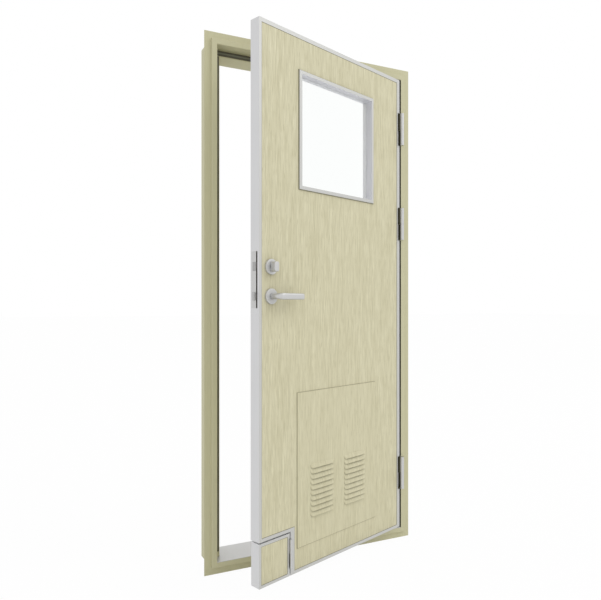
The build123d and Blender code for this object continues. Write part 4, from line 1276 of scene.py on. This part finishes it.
def seen_mask(tree):
    """1 for rays that show the background: straight, mirrored or through glass."""
    path = add(tree, "ShaderNodeLightPath").outputs
    mask = math_node(tree, "ADD", path["Is Camera Ray"], path["Is Glossy Ray"])
    mask = math_node(tree, "ADD", mask, path["Is Transmission Ray"])
    mask.node.use_clamp = True
    return mask


# The floor: half its side, how far it lies under the frame, and its grey
FLOOR_REACH = 60.0
FLOOR_DROP = 0.5 * MM
FLOOR_GREY = (0.9, 0.9, 0.9)


class FIREDOOR_OT_stage(bpy.types.Operator):
    """A white room with a pale floor, two large soft lamps and the photograph's camera."""
    bl_idname = "fire_door.stage"
    bl_label = "Stage"

    def execute(self, context):
        settings = context.scene.fire_door_stage
        scene = context.scene
        scene.view_settings.view_transform = "Standard"
        self.light_room(scene, settings)
        self.lay_floor(scene, settings)
        self.hang_lamp(scene, "key_lamp", KEY_PLACE, KEY_SIZE, settings.key_power)
        self.hang_lamp(scene, "fill_lamp", FILL_PLACE, FILL_SIZE, settings.fill_power)
        self.place_camera(scene)
        return {"FINISHED"}

    def light_room(self, scene, settings):
        """White where it is seen, dimmer where it lights the door."""
        scene.world = bpy.data.worlds.new("white_room")
        scene.world.use_nodes = True
        tree = scene.world.node_tree
        tree.nodes.clear()
        dim = add(tree, "ShaderNodeBackground", {0: opaque((1, 1, 1)), 1: settings.ambient})
        white = add(tree, "ShaderNodeBackground", {0: opaque((1, 1, 1)), 1: 1.0})
        mixed = add(tree, "ShaderNodeMixShader", {0: seen_mask(tree), 1: dim.outputs[0], 2: white.outputs[0]})
        add(tree, "ShaderNodeOutputWorld", {0: mixed.outputs[0]})

    def lay_floor(self, scene, settings):
        """A wide flat sheet under the frame, seen as mostly plain white, so that its shadow is faint."""
        mesh = bpy.data.meshes.new("floor")
        level = CAD_BOX[0][2] - FLOOR_DROP
        sides = ((-1, -1), (1, -1), (1, 1), (-1, 1))
        mesh.from_pydata([(FLOOR_REACH * x, FLOOR_REACH * y, level) for x, y in sides], [], [(0, 1, 2, 3)])
        material = bpy.data.materials.new("floor_white")
        material.use_nodes = True
        tree = material.node_tree
        tree.nodes.clear()
        matt = add(tree, "ShaderNodeBsdfDiffuse", {0: opaque(FLOOR_GREY)})
        white = add(tree, "ShaderNodeEmission", {0: opaque((1, 1, 1)), 1: 1.0})
        share = math_node(tree, "MULTIPLY", seen_mask(tree), settings.floor_glow)
        mixed = add(tree, "ShaderNodeMixShader", {0: share, 1: matt.outputs[0], 2: white.outputs[0]})
        add(tree, "ShaderNodeOutputMaterial", {0: mixed.outputs[0]})
        mesh.materials.append(material)
        floor = bpy.data.objects.new("floor", mesh)
        scene.collection.objects.link(floor)

    def hang_lamp(self, scene, name, place, size, power):
        """A large square lamp, aimed at the middle of the door."""
        data = bpy.data.lights.new(name, "AREA")
        data.energy = power
        data.size = size
        lamp = bpy.data.objects.new(name, data)
        lamp.location = place
        aim = Vector(LAMP_AIM) - lamp.location
        lamp.rotation_euler = aim.to_track_quat("-Z", "Y").to_euler()
        scene.collection.objects.link(lamp)

    def place_camera(self, scene):
        """The fitted camera: level, with the horizon a few pixels under the picture's middle."""
        data = bpy.data.cameras.new("photo_camera")
        data.sensor_width = SENSOR_MM
        data.lens = SENSOR_MM * FOCAL_PIXELS / FRAME_PIXELS
        data.shift_y = HORIZON_BELOW_MIDDLE / FRAME_PIXELS
        camera = bpy.data.objects.new("photo_camera", data)
        camera.location = CAMERA_PLACE
        camera.rotation_euler = (math.pi / 2, 0, CAMERA_TURN)
        scene.collection.objects.link(camera)
        scene.camera = camera


OPERATORS = (FIREDOOR_OT_finishes, FIREDOOR_OT_levers, FIREDOOR_OT_roses, FIREDOOR_OT_thumb_turn,
             FIREDOOR_OT_louvred_sheets, FIREDOOR_OT_seal_bulb, FIREDOOR_OT_joint_beads,
             FIREDOOR_OT_glazing_band, FIREDOOR_OT_gap_strip, FIREDOOR_OT_hinge_pads,
             FIREDOOR_OT_screws, FIREDOOR_OT_stage)
SETTINGS = {"fire_door_film": FireDoorFilm, "fire_door_metal": FireDoorMetal,
            "fire_door_shapes": FireDoorShapes, "fire_door_stage": FireDoorStage}


class FIREDOOR_PT_panel(bpy.types.Panel):
    """Lists the steps that dress the door."""
    bl_idname = "FIREDOOR_PT_panel"
    bl_label = "Fire door"
    bl_space_type = "VIEW_3D"
    bl_region_type = "UI"
    bl_category = "Fire door"

    def draw(self, context):
        for operator in OPERATORS:
            self.layout.operator(operator.bl_idname)


def register():
    """Makes the settings, operators and panel known to Blender."""
    for kind in (*SETTINGS.values(), *OPERATORS, FIREDOOR_PT_panel):
        bpy.utils.register_class(kind)
    for name, kind in SETTINGS.items():
        setattr(bpy.types.Scene, name, PointerProperty(type=kind))


def unregister():
    """Takes the settings, operators and panel away again."""
    for name in SETTINGS:
        delattr(bpy.types.Scene, name)
    for kind in (FIREDOOR_PT_panel, *reversed(OPERATORS), *SETTINGS.values()):
        bpy.utils.unregister_class(kind)


def main():
    """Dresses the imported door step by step."""
    register()
    bpy.ops.fire_door.finishes()
    bpy.ops.fire_door.levers()
    bpy.ops.fire_door.roses()
    bpy.ops.fire_door.thumb_turn()
    bpy.ops.fire_door.louvred_sheets()
    bpy.ops.fire_door.seal_bulb()
    bpy.ops.fire_door.joint_beads()
    bpy.ops.fire_door.glazing_band()
    bpy.ops.fire_door.gap_strip()
    bpy.ops.fire_door.hinge_pads()
    bpy.ops.fire_door.screws()
    bpy.ops.fire_door.stage()


if __name__ == "__main__":
    main()
